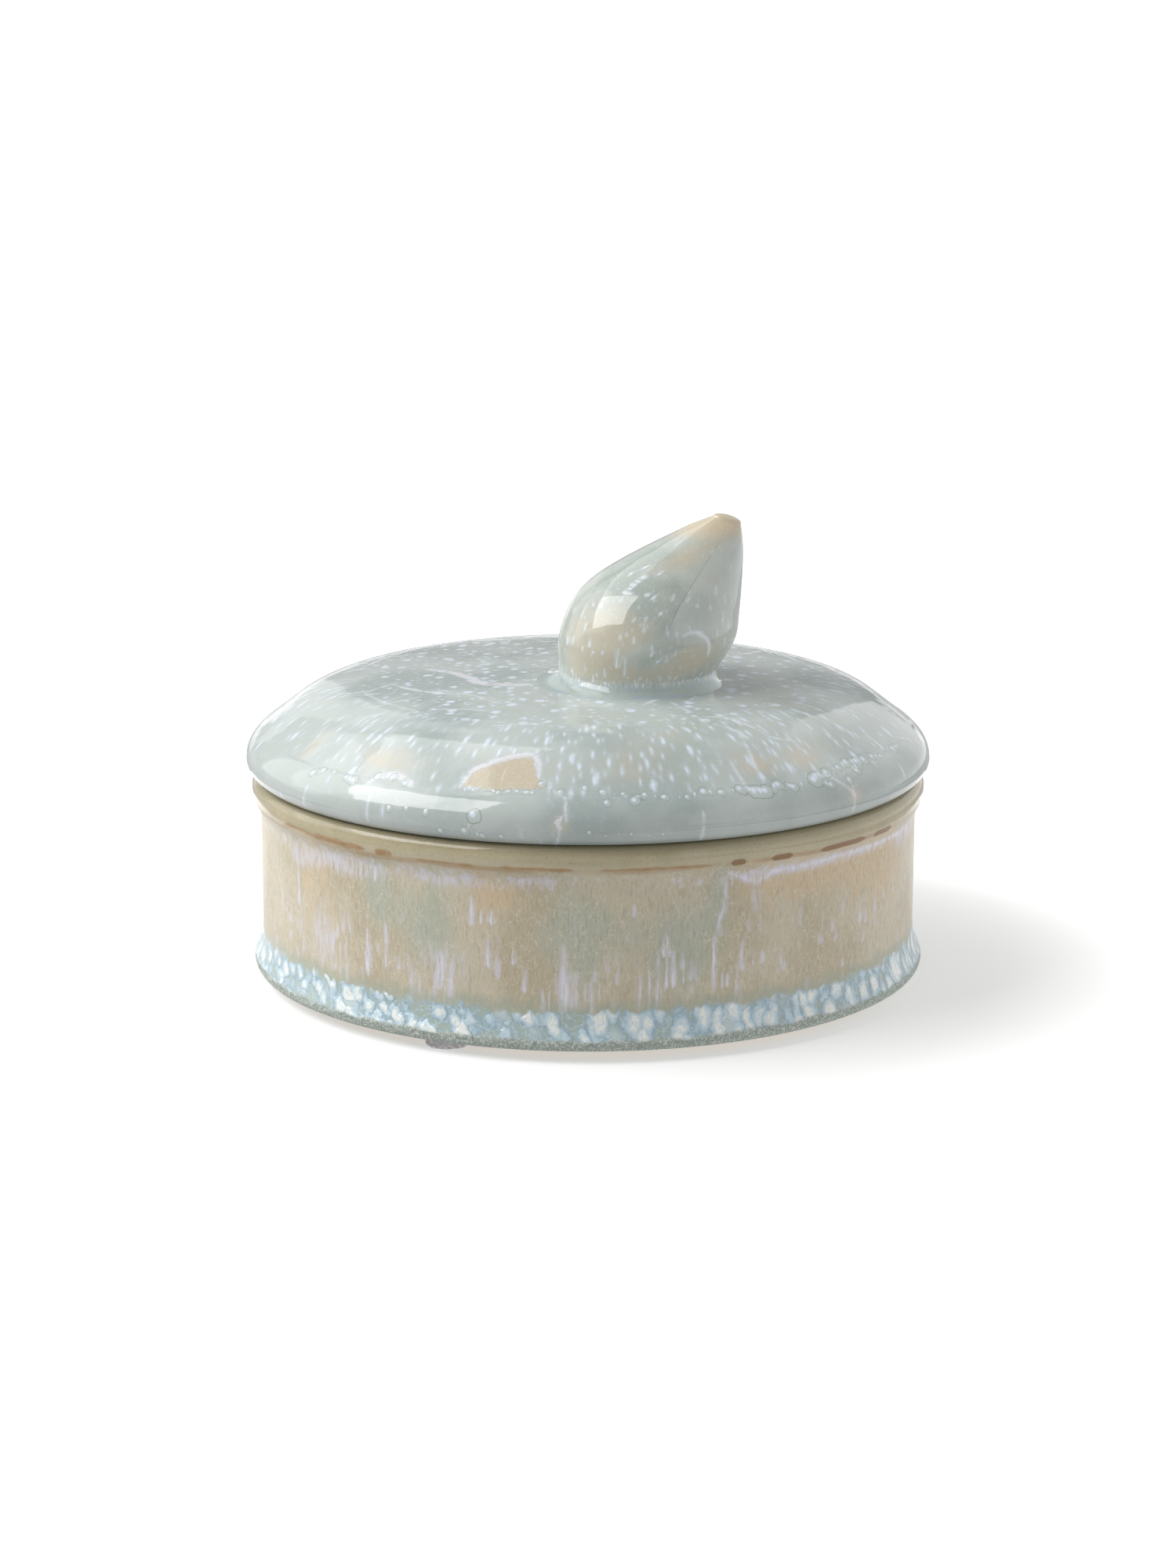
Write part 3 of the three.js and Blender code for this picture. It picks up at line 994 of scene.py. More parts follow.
        # the clots slid to the right as they ran down on the left side, and straight down on the right
        lean = g.where((g.add(PARTS, (g.place,)).outputs["X"], 30.0, -60.0, 0.0, 0.7), g.high)
        drift = g.warp(g.warp(g.place, 0.9, 4.6), 0.22, 1.5)
        swirl = g.add(VECTOR, (drift, g.add(JOIN, (lean,))), operation="ADD")
        tall = g.add(VECTOR, (swirl, (1.0, 1.0, 0.5)), operation="MULTIPLY")
        clot = {"Vector": tall, "Scale": 1 / 3.0, "Smoothness": 0.25}
        cells = g.add(CELLS, clot, feature="SMOOTH_F1").outputs
        chance = g.add(CHANNELS, (cells["Color"],)).outputs
        kept = (chance["Green"], 0.92, 0.78, 0.3, 1.0)
        ragged = g.stray(cells["Distance"], 0.05, 0.9)
        near = g.add(MATH, (chance["Red"], 0.24, ragged), operation="MULTIPLY_ADD")
        roll = g.where((level, 11.6, 10.2), (g.high, 3.8, 4.8))
        g.lay([roll], self.pool, 0.2)
        for start, end, colour, height in (
            (0.86, 0.76, self.rim, 0.05), (0.76, 0.6, self.ice, 0.14), (0.62, 0.36, self.curd, 0.12),
        ):
            g.lay([(near, start, end), roll, kept], colour, 0.18, height)
        veil = g.clouds(1.5, 3.0, (1.0, 1.6), swirl)
        g.lay([g.band(veil, 0.5, 0.008, 0.03), roll], self.ice, share=0.7)
        # below the roll the glaze was wiped thin: a matt, grainy band
        band = g.mottle((g.clouds(0.45), 0.42, 0.66), self.wiped, self.grain)
        g.lay([(g.stray(g.high, 0.5, 6.0), 5.5, 4.7)], band, 0.7, 0.03)


@dataclass(frozen=True)
class KnobGlaze:
    """Reactive stoneware glaze over a bud shaped by hand, fired to a glass.

    To the eye it is the lid's glaze, thinner: grey-green and beige clouds under a hard gloss, with short
    milky drops, a paler, greyer side right of the fold that is a painted reflection of the light from the
    right, and blue-white glass pooled in the skirt.
    """

    light: str = "#bfc5bd"
    deep: str = "#a9b2ac"
    beige: str = "#c5bda9"
    tip: str = "#d8c5a6"
    grey: str = "#a6afa8"
    # painted reflection: a lighter tone right of the fold, for the light from the right that the glaze
    # mirrors
    facet: str = "#c3c9c6"
    haze: str = "#cbd5da"
    milk: str = "#e9eff6"
    curd: str = "#d8dbd2"
    crease: str = "#86806a"
    skirt: str = "#a9b5b1"
    streak: str = "#97adbd"
    hem: str = "#a0b5c5"

    def material(self) -> bpy.types.Material:
        """Builds the finish.

        Returns:
            The material.
        """
        g = GlazeTree("knob_reactive_glaze", self.light, 0.06)
        rise = g.add(PARTS, (g.add(FACT, attribute_name="flow").outputs["Vector"],)).outputs["Z"]
        g.lay([(g.clouds(14, 3.0), 0.42, 0.6)], self.deep)
        broken = g.stray(g.add(FACT, attribute_name="tint").outputs["Fac"], 0.24, 4.5)
        g.lay([(broken, -0.1, 1.1)], self.beige, share=0.9)
        g.lay([(broken, -0.1, -0.9)], self.grey)
        # painted reflection: the side right of the fold is lightened, standing in for the light from the
        # right that it mirrors
        facet = g.add(FACT, attribute_name="facet").outputs["Fac"]
        g.lay([(facet, -0.06, 0.1), (rise, 12.0, 18.0), (rise, 37.0, 31.0)], self.facet, share=0.5)
        g.lay([(g.stray(rise, 0.8, 4.0), 34.0, 37.5)], self.tip, share=0.75)
        # fine curdling of the glass
        g.lay([(g.clouds(0.6), 0.48, 0.72)], self.curd, share=0.16)
        g.lay([(g.clouds(0.9, 2.0, (0.8, 2.4)), 0.54, 0.74)], self.curd, share=0.2)
        tall = g.add(VECTOR, (g.warp(g.place, 0.22, 1.4), (1.0, 1.0, 0.5)), operation="MULTIPLY")
        many = (rise, 30.0, 10.0, 0.35, 1.0)
        for cell, sizes, share in ((2.6, (0.15, 0.5), 0.6), (1.5, (0.1, 0.3), 0.4)):
            drop = g.drops(tall, cell, sizes, share)
            g.lay([(drop, -0.4, 0.1), many], self.haze, share=0.3)
            g.lay([(drop, -0.15, 0.35), many], self.milk, 0.1, 0.03, share=0.55)
        vein = g.strokes("vein", 0.2, (1.0, 1.6))
        g.lay([(vein, -0.5, 0.1)], self.haze, share=0.35)
        g.lay([(vein, -0.15, 0.5)], self.milk, 0.1, 0.04, share=0.65)
        g.lay([(g.strokes("fold", 0.04), -0.1, 0.15), (rise, 14.0, 22.0)], self.crease, share=0.5)
        self._skirt(g, rise)
        g.ripple(7.0, 0.1)
        g.ripple(2.4, 0.02)
        return g.finish(1.55)

    def _skirt(self, g: GlazeTree, rise: Any) -> None:
        """Lays the glass that pooled round the foot: pale, streaked with blue above and at its lower edge.

        Args:
            g: The tree that gets the coats.
            rise: The height over the knob's seat, in mm.
        """
        edge = g.stray(rise, 0.35, 2.0)
        g.lay([(edge, 4.6, 2.8)], self.skirt, 0.05, share=0.8)
        dashes = (g.clouds(1.0, 2.0, (0.8, 2.6)), 0.48, 0.6)
        g.lay([g.band(edge, 3.4, 0.6, 1.0), dashes], self.streak, share=0.6)
        drips = (g.clouds(0.8, 2.0, (0.8, 3.0)), 0.56, 0.66)
        g.lay([g.band(edge, 4.6, 0.8, 1.2), drips], self.milk, share=0.5)
        g.lay([g.band(edge, 1.2, 0.1, 0.5), (g.clouds(3.0), 0.4, 0.6)], self.hem, share=0.5)


@dataclass(frozen=True)
class PadFelt:
    """Pressed wool felt, punched round and stuck on.

    To the eye it is matt, fuzzy and pale, with glue showing at its top edge.
    """

    wool: str = "#fbf8f9"
    shade: str = "#ece6ea"
    fluff: str = "#fbf9fa"
    glue: str = "#b48f62"

    def material(self) -> bpy.types.Material:
        """Builds the finish.

        Returns:
            The material.
        """
        g = GlazeTree("pressed_wool_felt", self.wool, 0.95)
        # the nap is drawn coarser than wool's own fibres, so that it shows
        g.lay([(g.clouds(0.35, 3.0, (2.0, 0.8)), 0.42, 0.62)], self.shade, None, -0.12)
        g.lay([(g.clouds(1.6), 0.5, 0.7)], self.fluff, None, 0.05, share=0.5)
        g.lay([(g.high, 2.25, 2.4)], self.glue, 0.5, share=0.9)
        return g.finish(1.5, {"Sheen Weight": 0.4})


@dataclass
class PotBody:
    """The pot: floor, wall, flared foot ring and beaded lip, turned in one piece.

    The foot is flat out to foot_flat, and the lip between lip_flat_outer and lip_flat_inner. The inside's
    cove goes from cove_height on the wall to cove_radius on the floor. wave and seed lay the dips of the
    thrown wall, and unmarked is a height for the inside, far from every mark.
    """

    wheel: TurnedWare
    foot_flat: float = 77.3
    foot_radius: float = 79.0
    wall_radius: float = 77.0
    inner_radius: float = 72.0
    lip_radius: float = 78.8
    lip_flat_outer: float = 75.6
    lip_flat_inner: float = 72.8
    foot_height: float = 2.5
    lip_height: float = 48.0
    floor_top: float = 9.5
    wall_low: float = 12.0
    wall_high: float = 38.5
    cove_radius: float = 66.0
    cove_height: float = 15.5
    recess_radius: float = 60.5
    recess_height: float = 4.0
    wave: float = 34.0
    seed: float = 3.0
    unmarked: float = -50.0

    def outline(self) -> list[Edge]:
        """Draws half the pot's section.

        Returns:
            The outline, from the underside's middle round to the floor's middle.
        """
        foot, wall, inner, lip = self.foot_radius, self.wall_radius, self.inner_radius, self.lip_radius
        low, top, floor = self.foot_height, self.lip_height, self.floor_top
        start, stop, cove, flat = self.wall_low, self.wall_high, self.cove_height, self.cove_radius
        bare, inside = Skin.BARE_CLAY, Skin.INNER_GLAZE
        recess, under = self.recess_height, self.foot_flat
        ring = self.recess_radius + low - 1
        return [
            Edge(((0, recess), (self.recess_radius, recess)), 14, bare),
            Edge(((self.recess_radius, recess), (ring, low)), 3, bare),
            Edge(((ring, low), (under, low)), 5, bare),
            Edge(((under, low), (foot, low), (foot, 4.2)), 10),
            Edge(((foot, 4.2), (foot, 5.56), (wall, 7.725), (wall, start)), 18, give=0.4),
            Edge(((wall, start), (wall, stop)), 50, give=1.0),
            Edge(((wall, stop), (wall, 41.335), (lip, 41.398), (lip, 44.8)), 20, give=0.4),
            Edge(((lip, 44.8), (lip, top), (self.lip_flat_outer, top)), 18),
            Edge(((self.lip_flat_outer, top), (self.lip_flat_inner, top)), 4, bare),
            Edge(((self.lip_flat_inner, top), (inner, top), (inner, top - 0.8)), 5, inside),
            Edge(((inner, top - 0.8), (inner, cove)), 26, inside),
            Edge(((inner, cove), (inner, floor), (flat, floor)), 12, inside),
            Edge(((flat, floor), (0, floor)), 18, inside),
        ]

    def tints(self) -> list[Tint]:
        """Places the green-grey and peach zones of the wall.

        Returns:
            The zones, by angle and height.
        """
        rows = [
            (-126, 34, 6, 8, -0.9), (-116, 28, 7, 10, -0.9), (-91, 30, 10, 14, -0.9),
            (-75, 26, 9, 12, -0.9), (-68.5, 36, 3, 8, -0.9), (-105, 36, 9, 5, 0.7), (-84, 38, 9, 5, 0.5),
            (-50, 37, 22, 6, 1.0), (-30, 32, 14, 10, 0.7), (-142, 34, 8, 12, 0.6), (-133, 20, 6, 8, 0.3),
            (-46, 24, 12, 8, -0.2), (20, 28, 16, 14, -0.7), (60, 34, 20, 8, 0.8), (95, 24, 14, 14, -0.8),
            (130, 36, 18, 7, 0.7), (165, 26, 14, 12, -0.6),
        ]
        return [Tint(*row) for row in rows]

    def haze(self) -> list[Tint]:
        """Places the lavender haze of the wall.

        Returns:
            The zones, by angle and height.
        """
        rows = [
            (-134, 38.5, 12, 2.6, 1.0), (-146, 37, 6, 3, 0.8), (-112, 39, 9, 1.8, 0.8),
            (-98, 40, 7, 1.4, 0.6), (-140, 20, 5, 7, 0.6), (-114, 20, 7, 6, 0.5), (-93.5, 17, 3, 8, 0.5),
            (-50, 39.5, 22, 1.5, 0.8), (-20, 38, 9, 3, 0.8), (-62, 34, 3, 5, 0.5), (40, 38, 30, 2.4, 0.8),
            (100, 36, 20, 4, 0.7), (160, 38, 22, 3, 0.8), (75, 22, 9, 8, 0.6), (135, 20, 8, 8, 0.6),
        ]
        return [Tint(*row) for row in rows]

    def runs(self) -> list[Stroke]:
        """Places the large streaks of the wall.

        Returns:
            The streaks, by angle and height.
        """
        drops = [
            (-147.5, 40, 25, 0.25, 0.5), (-127, 42, 36, 0.5, 0.5), (-136, 25, 21, 0.4, 0.5),
            (-137, 22, 13, 0.3, 0.5), (-134, 22, 10, 0.25, 0.6), (-129, 28, 14, 0.35, 0.7),
            (-125, 27, 17, 0.9, 0.3), (-122.5, 20, 17, 0.4, 0.5), (-120, 19, 11, 0.35, 0.6),
            (-118.5, 17, 10, 0.4, 0.5), (-115.6, 18, 8, 0.25, 0.6), (-114.4, 23, 16, 0.5, 0.9),
            (-112.6, 23, 10, 0.9, 0.8), (-109, 36, 29, 0.6, 0.7), (-106.2, 27, 20, 0.6, 0.8),
            (-105.6, 33, 30, 0.9, 0.9), (-102, 25, 21, 0.5, 0.5), (-100.2, 21, 15, 0.4, 0.6),
            (-97.2, 16, 9, 0.2, 0.7), (-95.6, 41, 38, 0.5, 0.3), (-93.9, 26, 9, 0.7, 1.1),
            (-92.5, 19, 9, 0.4, 0.7), (-91.8, 20, 9, 0.2, 0.5), (-89.4, 18, 9, 0.3, 0.5),
            (-82.6, 35, 32, 0.5, 0.4), (-81.6, 20, 9, 0.3, 0.6), (-78.7, 24, 9, 0.5, 0.7),
            (-77.4, 28, 23, 0.4, 1.2), (-76.2, 24, 16, 0.5, 0.7), (-73.3, 22, 17, 0.3, 0.4),
            (-66.9, 18, 15, 0.3, 0.5), (-64.3, 25, 18, 0.25, 0.7), (-60.5, 22, 19, 0.4, 0.5),
            (-56.8, 22, 18, 0.4, 0.4), (-42.9, 19, 14, 0.3, 0.3), (-38, 25, 22, 0.3, 0.3),
        ]
        falls = [
            Stroke(((angle, high), (angle, low)), top * 0.2, bottom * 1.2)
            for angle, high, low, top, bottom in drops
        ]
        long_run = Stroke(((-67.3, 41), (-67.4, 34), (-68.4, 30), (-69.3, 25), (-69.3, 14)), 0.35, 0.6)
        shelf = (
            (-67.3, 40.8), (-63.7, 38.6), (-62, 37.6), (-60, 38.3), (-59, 39.6), (-54, 39.5), (-47, 39.8),
            (-38, 39.8), (-26, 39.4), (-10, 39.8),
        )
        ledge = Stroke(shelf, 0.8, 0.6)
        return falls + [long_run, ledge]

    def dashes(self) -> list[Stroke]:
        """Places the burnt dashes in the groove.

        Returns:
            The dashes, by angle and height.
        """
        spans = [
            (-67.3, -64.4, 42.9), (-60, -55.4, 42.8), (-49.8, -38.4, 42.6), (-36.2, -30, 42.6), (12, 20, 43),
            (48, 55, 43), (57, 70, 42.8), (118, 126, 43.4), (152, 160, 43.2),
        ]
        return [Stroke.arched(*span, half=0.75) for span in spans]

    def embers(self) -> list[Stroke]:
        """Places the caramel lines in the groove.

        Returns:
            The lines, by angle and height.
        """
        spans = [
            (-150, -140, 43.6, 0.4), (-141, -128, 43.4, 0.7), (-126, -122.5, 43.4, 0.7),
            (-118, -108, 43.0, 0.25), (-104, -92, 43.0, 0.3), (-88, -70, 43.0, 0.25), (84, 110, 43.2, 0.5),
            (170, 190, 43.2, 0.6),
        ]
        return [Stroke.arched(*span) for span in spans]

    def build(self, glaze: bpy.types.Material) -> bpy.types.Object:
        """Turns the pot and writes its marks.

        Args:
            glaze: The pot's finish.

        Returns:
            The piece.
        """
        piece = self.wheel.turn("stoneware_pot", self.outline(), self.wave, self.seed, glaze)
        mesh = piece.data
        spots = read_vectors(mesh, "position") / MM
        angle = np.arctan2(spots[:, 1], spots[:, 0])
        outside = np.hypot(spots[:, 0], spots[:, 1]) > self.inner_radius + 2
        height = np.where(outside, spots[:, 2], self.unmarked)
        marks = GlazeMarks(angle, height, np.full(len(spots), self.wall_radius))
        write_attribute(mesh, "tint", marks.tints(self.tints()))
        write_attribute(mesh, "haze", marks.tints(self.haze()))
        marks.write_strokes(mesh, "run", self.runs())
        marks.write_strokes(mesh, "dash", self.dashes())
        marks.write_strokes(mesh, "ember", self.embers())
        return piece


@dataclass
class Lid:
    """The lid: a domed shell with a rolled edge, a flat seat and a locating flange.

    Its section bends at hollow, shoulder and roll_end, and hangs straight under bore_top and roll_height.
    wave and seed lay the dips of the thrown dome, and bead_seed lays the beads.
    """

    wheel: TurnedWare
    radius: float = 80.0
    roll_height: float = 52.0
    roll_end: Point = (75.97, 58.58)
    shoulder: Point = (68.91, 63.96)
    crown_height: float = 71.8
    crown_radius: float = 54.0
    crown_drop: float = 2.6
    seat: float = 48.0
    seat_inner: float = 70.5
    seat_outer: float = 76.0
    flange_outer: float = 70.0
    flange_inner: float = 66.5
    flange_low: float = 41.0
    inner_height: float = 66.3
    hollow: Point = (49.875, 64.08)
    bore_top: float = 53.0
    wave: float = 30.0
    seed: float = 8.0
    bead_seed: int = 5

    def outline(self) -> list[Edge]:
        """Draws half the lid's section.

        Returns:
            The outline, from the inside's middle round to the crown's middle.
        """
        top, edge, seat = self.crown_height, self.crown_radius, self.seat
        rim = top - self.crown_drop
        outer, inner, low = self.flange_outer, self.flange_inner, self.flange_low
        inside, bare = Skin.INNER_GLAZE, Skin.BARE_CLAY
        side, roll, bore = self.radius, self.roll_height, self.bore_top
        return [
            Edge(((0, self.inner_height), (24.94, self.inner_height), self.hollow), 18, inside),
            Edge((self.hollow, (58.74, 63.08), (inner, 60.76), (inner, bore)), 16, inside),
            Edge(((inner, bore), (inner, low + 1)), 8, inside),
            Edge(((inner, low + 1), (inner, low), (inner + 1, low)), 4, bare),
            Edge(((inner + 1, low), (outer - 1, low)), 2, bare),
            Edge(((outer - 1, low), (outer, low), (outer, low + 1)), 4, bare),
            Edge(((outer, low + 1), (self.seat_inner, seat)), 6, bare),
            Edge(((self.seat_inner, seat), (self.seat_outer, seat)), 5, bare),
            Edge(((self.seat_outer, seat), (78.209, seat), (side, 49.791), (side, roll)), 18),
            Edge(((side, roll), (side, 55.5), self.roll_end), 24, give=0.6),
            Edge((self.roll_end, self.shoulder), 20, give=1.0),
            Edge((self.shoulder, (63.2, 68.31), (edge, rim)), 40, give=1.0),
            Edge(((edge, rim), (edge / 2, top), (0, top)), 78, give=0.5),
        ]

    def crown_at(self, radius: float | np.ndarray) -> float | np.ndarray:
        """Gives the crown's height in mm at a radius, or at many."""
        return self.crown_height - self.crown_drop * (radius / self.crown_radius) ** 2

    def veins(self) -> list[Stroke]:
        """Places the thin veins of the crown and the runs of the roll.

        Returns:
            The strokes, by angle and place along the outline.
        """
        thin = (0.22, 0.3)
        paths = [
            ((-166, 60), (-160, 54.5), (-165, 46.7), (-161, 45.8)),
            ((-132, 51), (-124, 47.7), (-118, 47)), ((-112, 56.5), (-104, 54), (-99, 52)),
            ((-146, 56), (-145, 46)), ((-142.6, 67), (-143, 62.5), (-140, 57.7)),
            ((-61, 52), (-55, 55.6), (-54, 60.8), (-52.4, 66), (-47.8, 68.6)), ((-62, 39.4), (-62, 48.6)),
            ((-59.3, 59), (-57.3, 65.4)), ((-59, 66), (-59.8, 75.5)), ((-64, 70.8), (-63.4, 79.6)),
            ((-38, 67), (-38.4, 73.6)), ((-28, 72), (-27, 77)),
            ((-95.9, 77.2), (-93.6, 79.5), (-93.3, 85)), ((-94.2, 86), (-94.8, 91)),
            ((-43, 85), (-46.7, 79.3), (-50, 78)), ((-43, 85), (-43.3, 89)), ((-72, 83.7), (-72.3, 91)),
            ((-126.7, 82), (-126.6, 89)), ((-141, 84), (-142, 90)), ((-150, 40), (-132, 38), (-118, 41)),
            ((30, 40), (36, 52), (31, 60)), ((75, 50), (90, 46), (104, 52)), ((120, 62), (126, 70)),
            ((150, 48), (158, 60), (154, 66)), ((60, 30), (78, 34), (96, 30)), ((10, 56), (16, 66)),
            ((175, 62), (-178, 70)),
        ]
        moon = ((-128.4, 80.4), (-127, 77.8), (-124.5, 76.6), (-121.4, 77.5), (-119.6, 79.2))
        hem = ((-111.6, 78.2), (-110.4, 73), (-107.4, 70.4), (-103.5, 68.4), (-100, 67.4), (-98.7, 65))
        wide = [
            (((174.5, 38.5), (-172, 31), (-158, 29), (-145, 30)), 0.7, 1.6),
            (((-148, 30), (-133, 26.6), (-123, 23)), 1.7, 1.0),
            (((-161, 46), (-149, 43), (-140, 40)), 0.6, 0.7),
            (((-73, 40.3), (-66, 36.6), (-53.4, 34.8), (-44, 36)), 0.5, 0.6),
            (moon, 0.8, 0.8), (hem, 0.7, 0.6), (((-100, 67.6), (-98.6, 70), (-98.4, 74)), 0.7, 0.35),
            (((-94.9, 85.4), (-94.1, 85.6)), 1.0, 1.2), (((-43.5, 84.7), (-42.9, 85.2)), 1.1, 1.2),
        ]
        return [Stroke(path, *thin) for path in paths] + [Stroke(*row) for row in wide]

    def tints(self) -> list[Tint]:
        """Places the peach and the deeper zones of the dome.

        Returns:
            The zones, by angle and place along the outline.
        """
        rows = [
            (-128, 73, 9, 5, 0.6), (-148, 75, 4, 5, 0.6), (-49, 73, 7, 4, 0.75), (-59.5, 73, 4, 4, 0.8),
            (-82, 71, 8, 6, 0.5), (-105, 72, 13, 7, 0.35), (-70, 60, 16, 10, 0.3), (-94, 86, 3, 3, 0.9),
            (-43, 85, 3, 3, 0.9), (-35, 55, 18, 16, 0.25), (-110, 87, 40, 6, -0.3),
            (-60, 87, 30, 6, -0.3), (10, 73, 10, 5, 0.7), (40, 70, 8, 5, 0.6), (75, 74, 12, 5, 0.8),
            (115, 72, 9, 5, 0.6), (150, 74, 10, 5, 0.7), (178, 72, 8, 4, 0.5),
        ]
        return [Tint(*row) for row in rows]

    def bead_rows(self) -> list[BeadRow]:
        """Places the rows of ringed beads under the shoulder.

        Returns:
            The rows, by angle and place along the outline.
        """
        rows = [
            ((-142, 80.5), (-131.5, 79.4), 5, 0.8), ((-128, 78), (-121, 78), 3, 0.8),
            ((-78, 79), (-68, 80), 4, 0.9), ((-65, 79.4), (-60, 81), 3, 1.15),
            ((-57.5, 79.2), (-50.5, 80), 3, 1.2), ((-49, 78), (-35, 78), 6, 0.95),
            ((-47, 81.4), (-40, 80.6), 3, 0.8), ((-33, 78), (-16, 77.4), 7, 0.75),
            ((-110, 78.4), (-99, 78), 9, 0.45), ((-97, 77), (-94, 78.6), 2, 0.9),
            ((-122, 85), (-116, 84.6), 3, 0.6), ((-113, 88.4), (-103, 89), 4, 0.75),
            ((-107, 84.6), (-104, 84.4), 1, 1.2), ((-91, 77), (-81, 79), 4, 0.6),
            ((-90, 87.6), (-78, 88.4), 6, 0.4), ((-87, 80.6), (-82, 80.2), 2, 0.8),
            ((0, 79), (26, 79.5), 11, 0.8), ((40, 79), (66, 78.5), 10, 0.85),
            ((84, 79.5), (112, 79), 11, 0.85), ((126, 79), (152, 79.6), 10, 0.8),
            ((160, 79.5), (178, 79), 7, 0.8),
        ]
        return [BeadRow(*row) for row in rows]

    def build(self, glaze: bpy.types.Material) -> bpy.types.Object:
        """Turns the lid and writes its marks.

        Args:
            glaze: The lid's finish.

        Returns:
            The piece.
        """
        piece = self.wheel.turn("stoneware_lid", self.outline(), self.wave, self.seed, glaze)
        mesh = piece.data
        spots = read_vectors(mesh, "position") / MM
        flow = read_vectors(mesh, "flow")
        angle = np.arctan2(spots[:, 1], spots[:, 0])
        marks = GlazeMarks(angle, flow[:, 2], np.hypot(spots[:, 0], spots[:, 1]))
        write_attribute(mesh, "tint", marks.tints(self.tints()))
        marks.write_strokes(mesh, "vein", self.veins())
        write_attribute(mesh, "bead", marks.beads(self.bead_rows(), self.bead_seed))
        peach = [
            (-111, 77.6), (-110.2, 73), (-107.4, 70.6), (-103.5, 68.6), (-100, 67.6), (-98.6, 73),
            (-97.4, 76.6), (-104, 77.8),
        ]
        write_attribute(mesh, "patch", marks.patch([peach]))
        return piece


